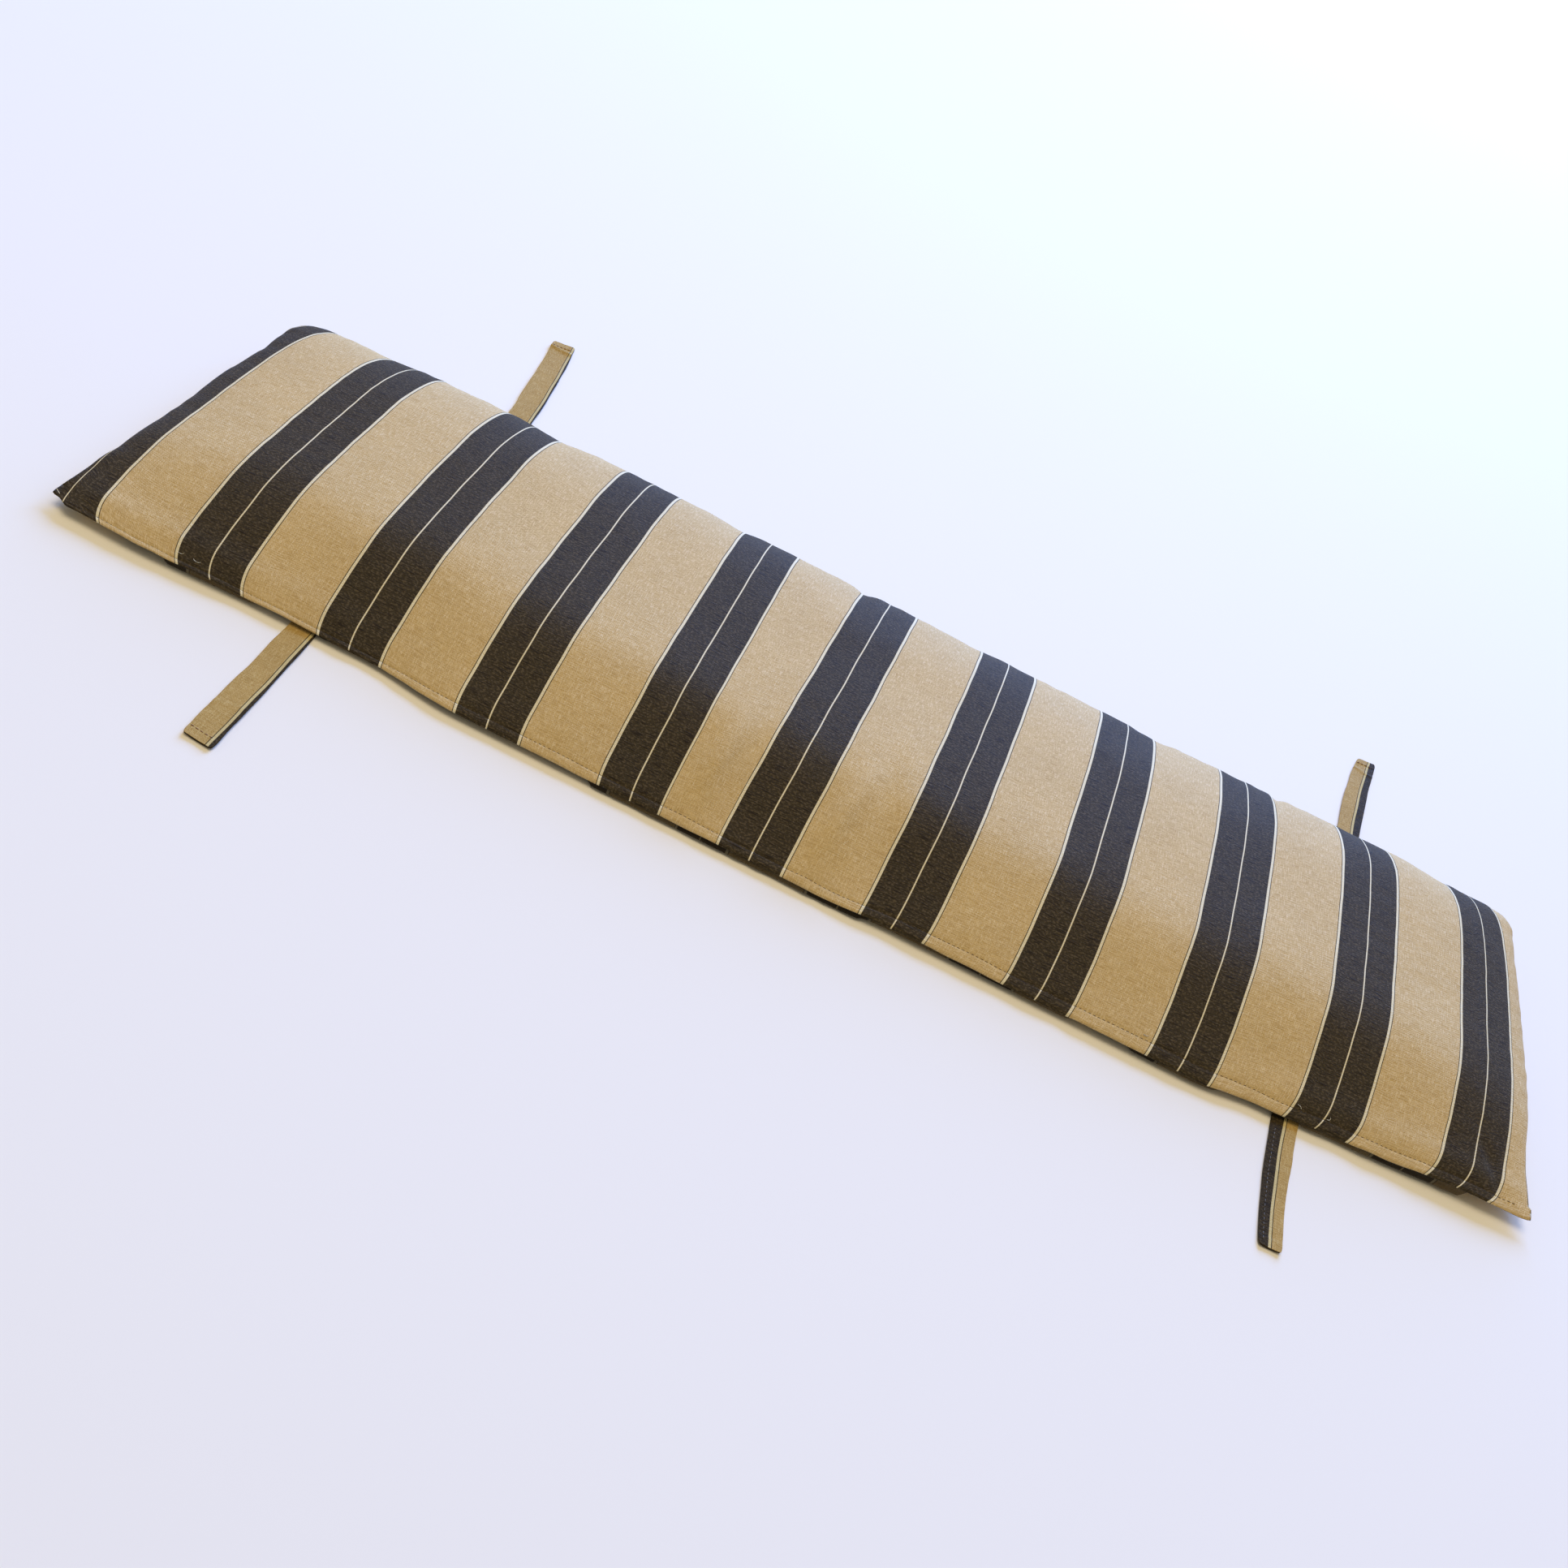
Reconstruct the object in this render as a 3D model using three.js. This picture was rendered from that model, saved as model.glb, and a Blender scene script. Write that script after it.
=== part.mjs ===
// A long, thin bench cushion in striped woven cloth, lying on its back.
// It is one filled pad with a knife edge all round, a closing hem that hangs as a
// flat lip along the near long side, and four flat ties with free ends.
// Millimetres, +Z up. +X runs along the cushion, +Y to the far long side.
// The origin is the middle of the flat underside.

import * as THREE from 'three';
import { mergeVertices } from 'three/addons/utils/BufferGeometryUtils.js';

// Sizes of the pad
const END_SEAM_X = 597.5;      // middle of the cushion to the seam of an end
const EAR_REACH = 2.5;         // how much further the near corners stick out
const EAR_WIDTH = 16;          // how far along the side that is felt
const EAR_DROP = 9;            // how much lower the two near corners lie
const EAR_DROP_WIDTH = 40;
const FAR_SEAM_Y = 167.5;      // middle to the far seam
const CORNER_ROUND = 24;       // radius of the two far corners
const CROWN_HEIGHT = 50;       // underside to the top of the pad
const SEAM_HEIGHT = 20;        // the knife edge at the far side and the ends
const HEM_BOTTOM = 2.2;        // lower edge of the hem
const HEM_THICKNESS = 3;
const HEM_FADE = [545, 590];   // the hem runs out into the corners between these places

// The way the top falls from its crown to the edges
const FAR_ROUNDING = 105;      // width of the rounded border at the far side
const END_ROUNDING = 236;      // width of the rounded border at an end
const NEAR_SLOPE = 0.5;        // fall of the sloping border at the near side
const RIDGE_SOFTNESS = 11;

// Places along the near side: y of the hem's edge and of the soft ridge above the slope
const NEAR_SIDE = [
  { x: -600, edge: -156, ridge: -71.5 },
  { x: -588, edge: -161, ridge: -73 },
  { x: -530, edge: -163, ridge: -74.5 },
  { x: -440, edge: -160.5, ridge: -73 },
  { x: -350, edge: -160.5, ridge: -72 },
  { x: -265, edge: -170, ridge: -82.5 },
  { x: -120, edge: -170.2, ridge: -82.5 },
  { x: 40, edge: -170.8, ridge: -82.5 },
  { x: 90, edge: -168.7, ridge: -82.5 },
  { x: 330, edge: -169, ridge: -82.5 },
  { x: 385, edge: -162.5, ridge: -75 },
  { x: 450, edge: -157.5, ridge: -70 },
  { x: 560, edge: -151.5, ridge: -68 },
  { x: 588, edge: -150.5, ridge: -71 },
  { x: 600, edge: -150, ridge: -71.5 },
];

// How far the two ends are drawn in near the front, or let out, on either side
const WAISTS = [
  { side: -1, y: -138, width: 38, depth: -4.5 },
  { side: 1, y: -112, width: 42, depth: 3.2 },
];

// Wide, low lumps of the filling, and hollows with a height below nothing
const LUMPS = [
  { x: -480, y: 150, wide: 130, deep: 80, height: 3.4 },
  { x: -230, y: 150, wide: 170, deep: 80, height: 3.8 },
  { x: 230, y: 150, wide: 150, deep: 80, height: -3.6 },
  { x: 500, y: 150, wide: 80, deep: 80, height: 4.4 },
];

// Soft slanting creases of the near slope, in the middle of the pad
const CREASES = [
  { x: -58, y: -92, lean: -0.10, reach: 48, width: 9, depth: 1.6 },
  { x: 46, y: -88, lean: -0.22, reach: 56, width: 10, depth: 1.8 },
  { x: 300, y: -104, lean: 0.12, reach: 40, width: 12, depth: 1.1 },
  { x: -262, y: -100, lean: 0.10, reach: 42, width: 12, depth: 1.0 },
];

// The grid of the pad's faces
const STEPS_ALONG = 84;
const STEPS_ACROSS = 26;
const EDGE_CROWDING = 0.5;     // 0 spaces the grid evenly, 1 packs it at the edges

// The underside: distances in from the rim, and heights behind the hem
const FLAT_INSET = 50;
const SIDE_CURVE = 1.6;
const UNDERSIDE_RINGS = [
  { inset: HEM_THICKNESS, behindHem: HEM_BOTTOM },
  { inset: 7, behindHem: 4.6 },
  { inset: 18, behindHem: 4.2 },
  { inset: 34, behindHem: 1.6 },
  { inset: FLAT_INSET, behindHem: 0 },
];

// Sizes of the ties
const TIE_THICKNESS = 1.8;
const SEAT_GAP = 0.3;          // what touching pieces keep between them
const TIE_STEPS = 16;

// Each tie at its root, half way and at the tip: x of its middle, and its width.
// Its tip is cut askew: its +X corner lies further along +Y by the skew.
const TIES = [
  {
    name: 'strap_near_left', side: 'near', root: -133, tip: -295, skew: -3,
    xs: [-397, -393.5, -391], widths: [21.5, 22.8, 24.5],
  },
  {
    name: 'strap_near_right', side: 'near', root: -133, tip: -274, skew: 0,
    xs: [410.5, 403.5, 402], widths: [21.2, 20.2, 17.5],
  },
  {
    name: 'strap_far_left', side: 'far', root: FAR_SEAM_Y, tip: 354, skew: 0,
    xs: [-393, -405, -421], widths: [22, 24, 22.4],
  },
  {
    name: 'strap_far_right', side: 'far', root: FAR_SEAM_Y, tip: 322, skew: 5,
    xs: [446, 452, 464], widths: [20, 22.5, 18.8],
  },
];
const FAR_TIE_DROP = 26;       // length over which a far tie comes down to the floor

function smoothStep(from, to, value) {
  const t = THREE.MathUtils.clamp((value - from) / (to - from), 0, 1);
  return t * t * (3 - 2 * t);
}

function roundedBorder(distance, width) {
  const r = THREE.MathUtils.clamp(1 - distance / width, 0, 1);
  return Math.sqrt(1 - r * r);
}

// A column of NEAR_SIDE at x, going from each row's value to the next by a smooth step
function nearSide(name, x) {
  let next = NEAR_SIDE.findIndex((row) => row.x > x);
  if (next < 0) next = NEAR_SIDE.length - 1;
  const after = NEAR_SIDE[Math.max(1, next)];
  const before = NEAR_SIDE[Math.max(1, next) - 1];
  return THREE.MathUtils.lerp(before[name], after[name], smoothStep(before.x, after.x, x));
}

// Half length of the pad on one side, -1 or 1, at y and a distance from the near edge
function halfLength(side, y, fromNear) {
  const toFar = THREE.MathUtils.clamp(FAR_SEAM_Y - y, 0, CORNER_ROUND);
  const cutOff = CORNER_ROUND - Math.sqrt(CORNER_ROUND ** 2 - (CORNER_ROUND - toFar) ** 2);
  let half = END_SEAM_X - cutOff + EAR_REACH * Math.exp(-fromNear / EAR_WIDTH);
  for (const waist of WAISTS) {
    if (waist.side === side) half -= waist.depth * Math.exp(-(((y - waist.y) / waist.width) ** 2));
  }
  return half;
}

// 1 where the hem hangs free, 0 at the two near corners
function hemShare(x) {
  return 1 - smoothStep(HEM_FADE[0], HEM_FADE[1], Math.abs(x));
}

function creaseDepth(x, y) {
  let depth = 0;
  for (const crease of CREASES) {
    const along = (y - crease.y) / crease.reach;
    const aside = (x - crease.x - crease.lean * (y - crease.y)) / crease.width;
    depth += crease.depth * Math.exp(-along * along - aside * aside);
  }
  return depth;
}

function lumpHeight(x, y) {
  let height = 0;
  for (const lump of LUMPS) {
    const along = (x - lump.x) / lump.wide;
    const across = (y - lump.y) / lump.deep;
    height += lump.height * Math.exp(-along * along - across * across);
  }
  return height;
}

// Height of the top at (x, y): a crown that falls to the seam at the far side and the
// ends as a quarter of an ellipse, and to the hem as a straight slope with a soft ridge
function topHeight(x, y, half) {
  const toEnd = Math.max(0, half - Math.abs(x));
  const toFar = Math.max(0, FAR_SEAM_Y - y);
  const toNear = Math.max(0, y - nearSide('edge', x));
  const belowRidge = nearSide('ridge', x) - y;
  const bevel = NEAR_SLOPE * RIDGE_SOFTNESS * Math.log1p(Math.exp(belowRidge / RIDGE_SOFTNESS));
  const full = CROWN_HEIGHT - SEAM_HEIGHT;
  const ends = roundedBorder(toEnd, END_ROUNDING);
  const far = roundedBorder(toFar, FAR_ROUNDING);
  const crown = full * ends * far * (1 - bevel / full);
  const inside = roundedBorder(Math.min(toEnd, toFar, toNear), FLAT_INSET);
  const relief = lumpHeight(x, y) - creaseDepth(x, y);
  const ear = Math.exp(-toEnd / EAR_DROP_WIDTH) * Math.exp(-toNear / EAR_DROP_WIDTH);
  return SEAM_HEIGHT + crown + inside * relief - EAR_DROP * ear;
}

function crowd(t) {
  const s = 2 * t - 1;
  const bent = (1 - EDGE_CROWDING) * s + EDGE_CROWDING * Math.sin((Math.PI / 2) * s);
  return (bent + 1) / 2;
}

// A point of the top. Row 0 is the lower edge of the hem and row 1 its upper edge.
function topPoint(column, row) {
  const across = row < 2 ? 0 : crowd((row - 1) / (STEPS_ACROSS - 1));
  const along = 2 * crowd(column / STEPS_ALONG) - 1;
  const near = nearSide('edge', along * END_SEAM_X);
  const y = near + across * (FAR_SEAM_Y - near);
  const half = halfLength(Math.sign(along), y, y - near);
  const x = along * half;
  const top = topHeight(x, y, half);
  if (row > 0) return new THREE.Vector3(x, y, top);
  const share = hemShare(x);
  return new THREE.Vector3(x, y - 0.4 * share, THREE.MathUtils.lerp(top - 0.8, HEM_BOTTOM, share));
}

// The rim of the grid in order: near side, right end, far side, left end
function rimPlaces() {
  const places = [];
  for (let i = 0; i < STEPS_ALONG; i += 1) places.push([i, 0]);
  for (let j = 0; j < STEPS_ACROSS; j += 1) places.push([STEPS_ALONG, j]);
  for (let i = STEPS_ALONG; i > 0; i -= 1) places.push([i, STEPS_ACROSS]);
  for (let j = STEPS_ACROSS; j > 0; j -= 1) places.push([0, j]);
  return places;
}

// A point of the underside: the rim point moved in by the ring's inset, at the height
// of a curve that meets the floor, or of the hem's back where the hem hangs free
function undersidePoint(rim, ring, share) {
  const x = rim.x * (1 - ring.inset / END_SEAM_X);
  const y = rim.y * (1 - ring.inset / FAR_SEAM_Y);
  const side = rim.z * (1 - ring.inset / FLAT_INSET) ** SIDE_CURVE;
  return new THREE.Vector3(x, y, THREE.MathUtils.lerp(side, ring.behindHem, share));
}

function solidFrom(points, faces) {
  const geometry = new THREE.BufferGeometry();
  geometry.setAttribute('position', new THREE.Float32BufferAttribute(points.flatMap((p) => p.toArray()), 3));
  geometry.setIndex(faces.flat());
  return mergeVertices(geometry);
}

function padGeometry() {
  const points = [];
  const faces = [];
  const columns = STEPS_ALONG + 1;
  const place = (i, j) => j * columns + i;
  for (let j = 0; j <= STEPS_ACROSS; j += 1) {
    for (let i = 0; i <= STEPS_ALONG; i += 1) points.push(topPoint(i, j));
  }
  for (let j = 0; j < STEPS_ACROSS; j += 1) {
    for (let i = 0; i < STEPS_ALONG; i += 1) {
      faces.push([place(i, j), place(i + 1, j), place(i + 1, j + 1)]);
      faces.push([place(i, j), place(i + 1, j + 1), place(i, j + 1)]);
    }
  }
  const rim = rimPlaces();
  let outer = rim.map(([i, j]) => place(i, j));
  for (const ring of UNDERSIDE_RINGS) {
    const inner = rim.map(([i, j]) => {
      const from = points[place(i, j)];
      const share = j === 0 ? hemShare(from.x) : 0;
      points.push(undersidePoint(from, ring, share));
      return points.length - 1;
    });
    for (let k = 0; k < rim.length; k += 1) {
      const next = (k + 1) % rim.length;
      faces.push([outer[k], inner[k], inner[next]]);
      faces.push([outer[k], inner[next], outer[next]]);
    }
    outer = inner;
  }
  const outline = outer.map((index) => new THREE.Vector2(points[index].x, points[index].y));
  for (const [a, b, c] of THREE.ShapeUtils.triangulateShape(outline, [])) {
    faces.push([outer[a], outer[c], outer[b]]);
  }
  return solidFrom(points, faces);
}

// Height of a tie's lower face at a distance along it from its root. A far tie comes
// down from the seam in a soft S and then lies flat; a near one is flat all along.
function tieHeight(tie, distance) {
  if (tie.side === 'near') return 0;
  return (SEAM_HEIGHT - TIE_THICKNESS) * (1 - smoothStep(0, FAR_TIE_DROP, distance));
}

// The value at t of the parabola through three values at 0, a half and 1
function bend([first, middle, last], t) {
  return first * (1 - t) * (1 - 2 * t) + middle * 4 * t * (1 - t) + last * t * (2 * t - 1);
}

// A flat strip of even thickness along a bent middle line
function tieGeometry(tie) {
  const points = [];
  const faces = [];
  const outward = tie.side === 'near' ? -1 : 1;
  const start = tie.root + (tie.side === 'far' ? SEAT_GAP : 0);
  const run = Math.abs(tie.tip - start);
  for (let k = 0; k <= TIE_STEPS; k += 1) {
    const distance = run * (k / TIE_STEPS) ** (tie.side === 'far' ? 1.5 : 1);
    const t = distance / run;
    const x = bend(tie.xs, t);
    const half = bend(tie.widths, t) / 2;
    const y = start + outward * distance;
    const z = tieHeight(tie, distance);
    const slope = (tieHeight(tie, distance + 0.5) - tieHeight(tie, Math.max(0, distance - 0.5)));
    const thickness = TIE_THICKNESS * Math.hypot(1, slope);
    for (const [aside, lift] of [[-1, 0], [1, 0], [1, thickness], [-1, thickness]]) {
      const right = aside * outward;
      points.push(new THREE.Vector3(x + right * half, y + (right * tie.skew * t) / 2, z + lift));
    }
  }
  for (let k = 0; k < TIE_STEPS; k += 1) {
    for (let c = 0; c < 4; c += 1) {
      const a = 4 * k + c;
      const b = 4 * k + ((c + 1) % 4);
      faces.push([a, b + 4, b], [a, a + 4, b + 4]);
    }
  }
  const last = 4 * TIE_STEPS;
  faces.push([0, 1, 2], [0, 2, 3]);
  faces.push([last, last + 2, last + 1], [last, last + 3, last + 2]);
  return solidFrom(points, faces);
}

function clothMaterial(name, color) {
  return new THREE.MeshStandardMaterial({ name, color, roughness: 0.9, metalness: 0 });
}

function namedMesh(name, geometry, material) {
  const mesh = new THREE.Mesh(geometry, material);
  mesh.name = name;
  return mesh;
}

const cushion = new THREE.Group();
cushion.add(namedMesh('cushion', padGeometry(), clothMaterial('striped cloth', 0xb8a482)));
for (const tie of TIES) {
  cushion.add(namedMesh(tie.name, tieGeometry(tie), clothMaterial('tie cloth', 0xad9468)));
}

export default cushion;
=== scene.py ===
"""The looks of a long, thin bench cushion in broad-striped woven cloth, lying on its back.

The cover is one closed surface worked out with numpy, which a cloth simulation swells a little.
The ties, all stitching and the loose ends of thread are laid out on it. The shape functions
work in millimetres, and every mesh is written in metres, in the CAD's own frame: +X along the
cushion, +Y to the far long side, +Z up.
"""
import math

import bmesh
import bpy
import numpy as np
from mathutils import Matrix, Vector


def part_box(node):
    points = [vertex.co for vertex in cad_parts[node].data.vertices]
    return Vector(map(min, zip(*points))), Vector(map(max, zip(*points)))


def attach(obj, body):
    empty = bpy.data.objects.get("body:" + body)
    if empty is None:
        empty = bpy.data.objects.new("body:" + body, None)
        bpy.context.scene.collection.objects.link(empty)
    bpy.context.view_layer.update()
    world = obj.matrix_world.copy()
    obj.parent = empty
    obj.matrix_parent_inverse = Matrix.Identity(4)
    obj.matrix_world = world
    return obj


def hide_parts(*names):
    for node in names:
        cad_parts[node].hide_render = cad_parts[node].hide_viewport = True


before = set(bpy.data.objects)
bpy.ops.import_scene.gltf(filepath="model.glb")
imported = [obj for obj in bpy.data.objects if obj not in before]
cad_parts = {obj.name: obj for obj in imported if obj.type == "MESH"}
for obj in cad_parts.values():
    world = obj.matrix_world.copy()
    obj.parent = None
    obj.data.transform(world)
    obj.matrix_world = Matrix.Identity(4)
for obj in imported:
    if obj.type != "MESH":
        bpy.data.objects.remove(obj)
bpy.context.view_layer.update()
MM = 0.001
SEED = 5                       # starts every random draw, with each one's own number added

# Sizes of the pad, in millimetres
FAR_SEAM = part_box("cushion")[1][1] / MM    # middle to the far seam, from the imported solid
CROWN = 48.8                   # underside to the top, before the filling swells it
HALF = 597.5                   # middle to the seam of an end
EAR_REACH = 2.5                # how much further the near corners stick out
EAR_WIDTH = 16.0
REACH = HALF + EAR_REACH
SEAM_HEIGHT = 20.0
EAR_DROP = 9.0                 # how much lower the two near corners lie
EAR_DROP_WIDTH = 40.0
CORNER_ROUND = 24.0            # radius of the two far corners
# Places where an end is drawn in, or let out where the depth is below nothing
WAISTS = [
    dict(side=-1.0, y=-138.0, width=38.0, depth=-4.5),
    dict(side=1.0, y=-112.0, width=42.0, depth=3.2),
]

# The way the top falls from its crown to the edges
FAR_ROUNDING = 105.0
END_ROUNDING = 236.0
NEAR_SLOPE = 0.5
RIDGE_SOFTNESS = 11.0

# The underside: how far in from the rim it meets the floor, and the power of its curve
FLAT_INSET = 50.0
SIDE_CURVE = 1.6
RIM_PULL = 12.0                # how far in its columns still follow the two ends
BEHIND_HEM = [
    dict(inset=0.0, height=3.3),
    dict(inset=1.5, height=4.4),
    dict(inset=5.0, height=6.2),
    dict(inset=10.0, height=5.8),
    dict(inset=18.0, height=4.2),
    dict(inset=34.0, height=1.4),
    dict(inset=50.0, height=0.0),
]
BEHIND_HEM_BLEND = 3.0

# Places along the near side: y of the hem's edge and of the soft ridge above the slope
NEAR_SIDE = [
    dict(x=-600.0, edge=-156.0, ridge=-71.5),
    dict(x=-588.0, edge=-161.0, ridge=-73.0),
    dict(x=-530.0, edge=-163.0, ridge=-74.5),
    dict(x=-440.0, edge=-160.5, ridge=-73.0),
    dict(x=-350.0, edge=-160.5, ridge=-72.0),
    dict(x=-265.0, edge=-170.0, ridge=-82.5),
    dict(x=-120.0, edge=-170.2, ridge=-82.5),
    dict(x=40.0, edge=-170.8, ridge=-82.5),
    dict(x=90.0, edge=-168.7, ridge=-82.5),
    dict(x=330.0, edge=-169.0, ridge=-82.5),
    dict(x=385.0, edge=-162.5, ridge=-75.0),
    dict(x=450.0, edge=-157.5, ridge=-70.0),
    dict(x=560.0, edge=-151.5, ridge=-68.0),
    dict(x=588.0, edge=-150.5, ridge=-71.0),
    dict(x=600.0, edge=-150.0, ridge=-71.5),
]

# The hem: it hangs as a lip that fades out at the near corners
LIP_FADE = dict(start=545.0, end=590.0)
HEM_WIDTHS = [
    dict(x=-600.0, width=3.4),
    dict(x=-350.0, width=3.6),
    dict(x=-265.0, width=6.8),
    dict(x=20.0, width=6.8),
    dict(x=150.0, width=8.5),
    dict(x=340.0, width=9.9),
    dict(x=400.0, width=8.0),
    dict(x=600.0, width=7.4),
]
HEM_STEPS = (0.35, 0.7, 0.93, 1.0, 1.08)    # shares of its width at which its rows lie
HEM_BULGE = 0.35
HEM_LIFT = 0.5                 # how far the doubled cloth stands above the slope
HEM_LIFT_FADE = 6.0
HEM_WAVE = dict(wide=23.0, deep=300.0, height=0.45, seed=8)
STITCH_SINK = 0.55             # how deep the stitches pull the cloth in
# Places where the under panel's hem peeps out below the lip: how far it comes forward of the
# lip and the height of its lower edge. Elsewhere it is hidden behind the lip.
PEEPS = [
    dict(start=-508.0, end=-436.0, forward=-0.6, bottom=2.2),
    dict(start=-387.0, end=-335.0, forward=-0.6, bottom=2.6),
    dict(start=-286.0, end=-216.0, forward=-1.8, bottom=3.4),
    dict(start=-157.0, end=66.0, forward=1.2, bottom=1.6),
    dict(start=66.0, end=232.0, forward=-0.4, bottom=2.8),
    dict(start=280.0, end=350.0, forward=-0.2, bottom=2.8),
    dict(start=417.0, end=548.0, forward=0.4, bottom=2.6),
]
PEEP_FADE = 3.0
PEEP_RAGGEDNESS = dict(wide=8.0, deep=300.0, height=0.5, seed=7)
HIDDEN = dict(forward=-1.8, drop=1.2)

# Soft troughs of the near slope and the crown, and soft ridges where the depth is below nothing
CREASES = [
    dict(x=-58.0, y=-92.0, lean=-0.10, reach=48.0, width=9.0, depth=1.6),
    dict(x=46.0, y=-88.0, lean=-0.22, reach=56.0, width=10.0, depth=1.8),
    dict(x=300.0, y=-104.0, lean=0.12, reach=40.0, width=12.0, depth=1.1),
    dict(x=-262.0, y=-100.0, lean=0.10, reach=42.0, width=12.0, depth=1.0),
    dict(x=-80.0, y=-116.0, lean=0.10, reach=30.0, width=8.0, depth=-5.0),
    dict(x=20.0, y=-114.0, lean=0.14, reach=32.0, width=8.0, depth=-5.2),
    dict(x=566.0, y=-128.0, lean=-0.55, reach=26.0, width=6.0, depth=1.8),
]
# Wide, low lumps of the filling, and hollows where the height is below nothing
LUMPS = [
    dict(x=-480.0, y=150.0, wide=130.0, deep=80.0, height=3.4),
    dict(x=-230.0, y=150.0, wide=170.0, deep=80.0, height=3.8),
    dict(x=230.0, y=150.0, wide=150.0, deep=80.0, height=-3.6),
    dict(x=500.0, y=150.0, wide=80.0, deep=80.0, height=4.4),
    dict(x=-82.0, y=-138.0, wide=15.0, deep=30.0, height=3.4),
    dict(x=18.0, y=-138.0, wide=14.0, deep=30.0, height=3.4),
    dict(x=150.0, y=-140.0, wide=26.0, deep=30.0, height=2.4),
    dict(x=-190.0, y=-140.0, wide=24.0, deep=30.0, height=2.2),
]
# The filling's own unevenness from wide to fine, as noise with cells of this size
UNEVENNESS = [
    dict(wide=120.0, deep=90.0, height=0.9, seed=4),
    dict(wide=46.0, deep=40.0, height=0.45, seed=5),
    dict(wide=17.0, deep=21.0, height=0.16, seed=6),
]
# Small gathers that start at a seam and fade inwards, in the same way
GATHERS = dict(
    far=dict(wide=9.0, deep=60.0, fade=14.0, height=0.9, seed=1),
    near=dict(wide=13.0, deep=50.0, fade=12.0, height=0.5, seed=2),
    end=dict(wide=60.0, deep=10.0, fade=13.0, height=0.9, seed=3),
)
RELIEF_SINK = 1.0              # the lumps, creases and unevenness start this far down
# Places where the far seam is nipped in, mostly beside a stripe, or let out
FAR_NIPS = [
    dict(x=-330.0, width=260.0, depth=-1.6),
    dict(x=-508.0, width=22.0, depth=2.0),
    dict(x=-341.0, width=22.0, depth=3.4),
    dict(x=-163.0, width=20.0, depth=2.6),
    dict(x=-42.0, width=7.0, depth=4.2),
    dict(x=64.0, width=18.0, depth=1.6),
    dict(x=241.0, width=20.0, depth=2.8),
    dict(x=361.0, width=6.0, depth=3.4),
    dict(x=520.0, width=24.0, depth=2.0),
]
NIP_FADE = 22.0
NIP_DENT = dict(inset=18.0, width=26.0, share=0.5)
# The seams of the two ends wander a little, by noise that fades inwards
END_WANDER = dict(wide=400.0, deep=38.0, height=1.6, seed=9, fade=20.0)

# The woven stripes, measured across them
STRIPE_PITCH = 116.5
DARK_WIDTH = 50.0
DARK_CENTRE = -42.3 + DARK_WIDTH / 2
MIDLINE_WIDTH = 1.1
BORDER_WIDTH = 2.1
HAIRLINE_WIDTH = 0.6
BAND_SOFTNESS = 0.18
YARN_PITCH = 1.15
# Along the near side the cloth rolls under, so the stripes bend: how far, at places x. The
# cloth is fuller there by a share of the bend.
ROLL_REACH = 9.0
ROLL_FULLNESS = 0.35
ROLL_SWELLING = dict(inset=16.0, width=11.0)
ROLL_BEND = [
    dict(x=-600.0, bend=3.0),
    dict(x=-560.0, bend=9.0),
    dict(x=-475.0, bend=8.5),
    dict(x=-330.0, bend=3.2),
    dict(x=-190.0, bend=2.6),
    dict(x=0.0, bend=0.5),
    dict(x=150.0, bend=-3.0),
    dict(x=330.0, bend=-3.0),
    dict(x=430.0, bend=-7.0),
    dict(x=560.0, bend=-9.0),
    dict(x=600.0, bend=-2.0),
]
# Along the far side they bend inwards too
FAR_BEND_REACH = 24.0
FAR_BEND = [
    dict(x=-600.0, bend=24.0),
    dict(x=-520.0, bend=13.0),
    dict(x=-400.0, bend=8.0),
    dict(x=-280.0, bend=4.0),
    dict(x=-100.0, bend=0.0),
    dict(x=300.0, bend=0.0),
    dict(x=420.0, bend=-5.0),
    dict(x=520.0, bend=-11.0),
    dict(x=600.0, bend=-14.0),
]
LEFT_SLANT = 8.1               # how far the left stripes lean towards +X at the near edge
RIGHT_SLANT = -10.6            # and the right ones, towards -X
SLANT_CHANGE = (-108.9, -54.0)  # the pale band in which the one lean turns into the other
CROWN_LINE = 18.0              # y of the line along which the stripes' spacing is measured
END_STRETCH = dict(at=520.0, by=5.5)    # the cloth is stretched more towards the ends
SLACK = dict(at=250.0, width=90.0, by=1.7)    # and a little slack here
UNDER_SHIFT = 43.0             # the under panel's stripes lie this much further along

# The ties at the root, half way and at the tip: x of the middle, and width. The tip is cut
# askew, so the +X corner lies further along +Y by the skew. Across each tie, place says where
# its dark stripe starts or ends, and fold is a small crease at a distance from the tip.
TIES = [
    dict(name="strap_near_left", side="near", edge="start", place=9.4, skew=-3.0,
         fold=dict(at=40.0, height=0.4), xs=(-397.0, -393.5, -391.0), widths=(21.5, 22.8, 24.5)),
    dict(name="strap_near_right", side="near", edge="end", place=-1.2, skew=0.0,
         fold=dict(at=66.0, height=0.3), xs=(410.5, 403.5, 402.0), widths=(21.2, 20.2, 17.5)),
    dict(name="strap_far_left", side="far", edge="start", place=10.4, skew=0.0,
         fold=dict(at=13.0, height=1.6), xs=(-393.0, -405.0, -421.0), widths=(22.0, 24.0, 22.4)),
    dict(name="strap_far_right", side="far", edge="start", place=4.2, skew=5.0,
         fold=dict(at=20.0, height=0.7), xs=(446.0, 452.0, 464.0), widths=(20.0, 22.5, 18.8)),
]
TIE_THICKNESS = 1.8
TIE_ROOT_LIFT = SEAM_HEIGHT - TIE_THICKNESS
FAR_TIE_DROP = 26.0            # a far tie comes down from the seam over this stretch
TIE_HEM = 8.0
TIE_TIP_ROUND = dict(depth=1.6, fade=1.3)
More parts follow.
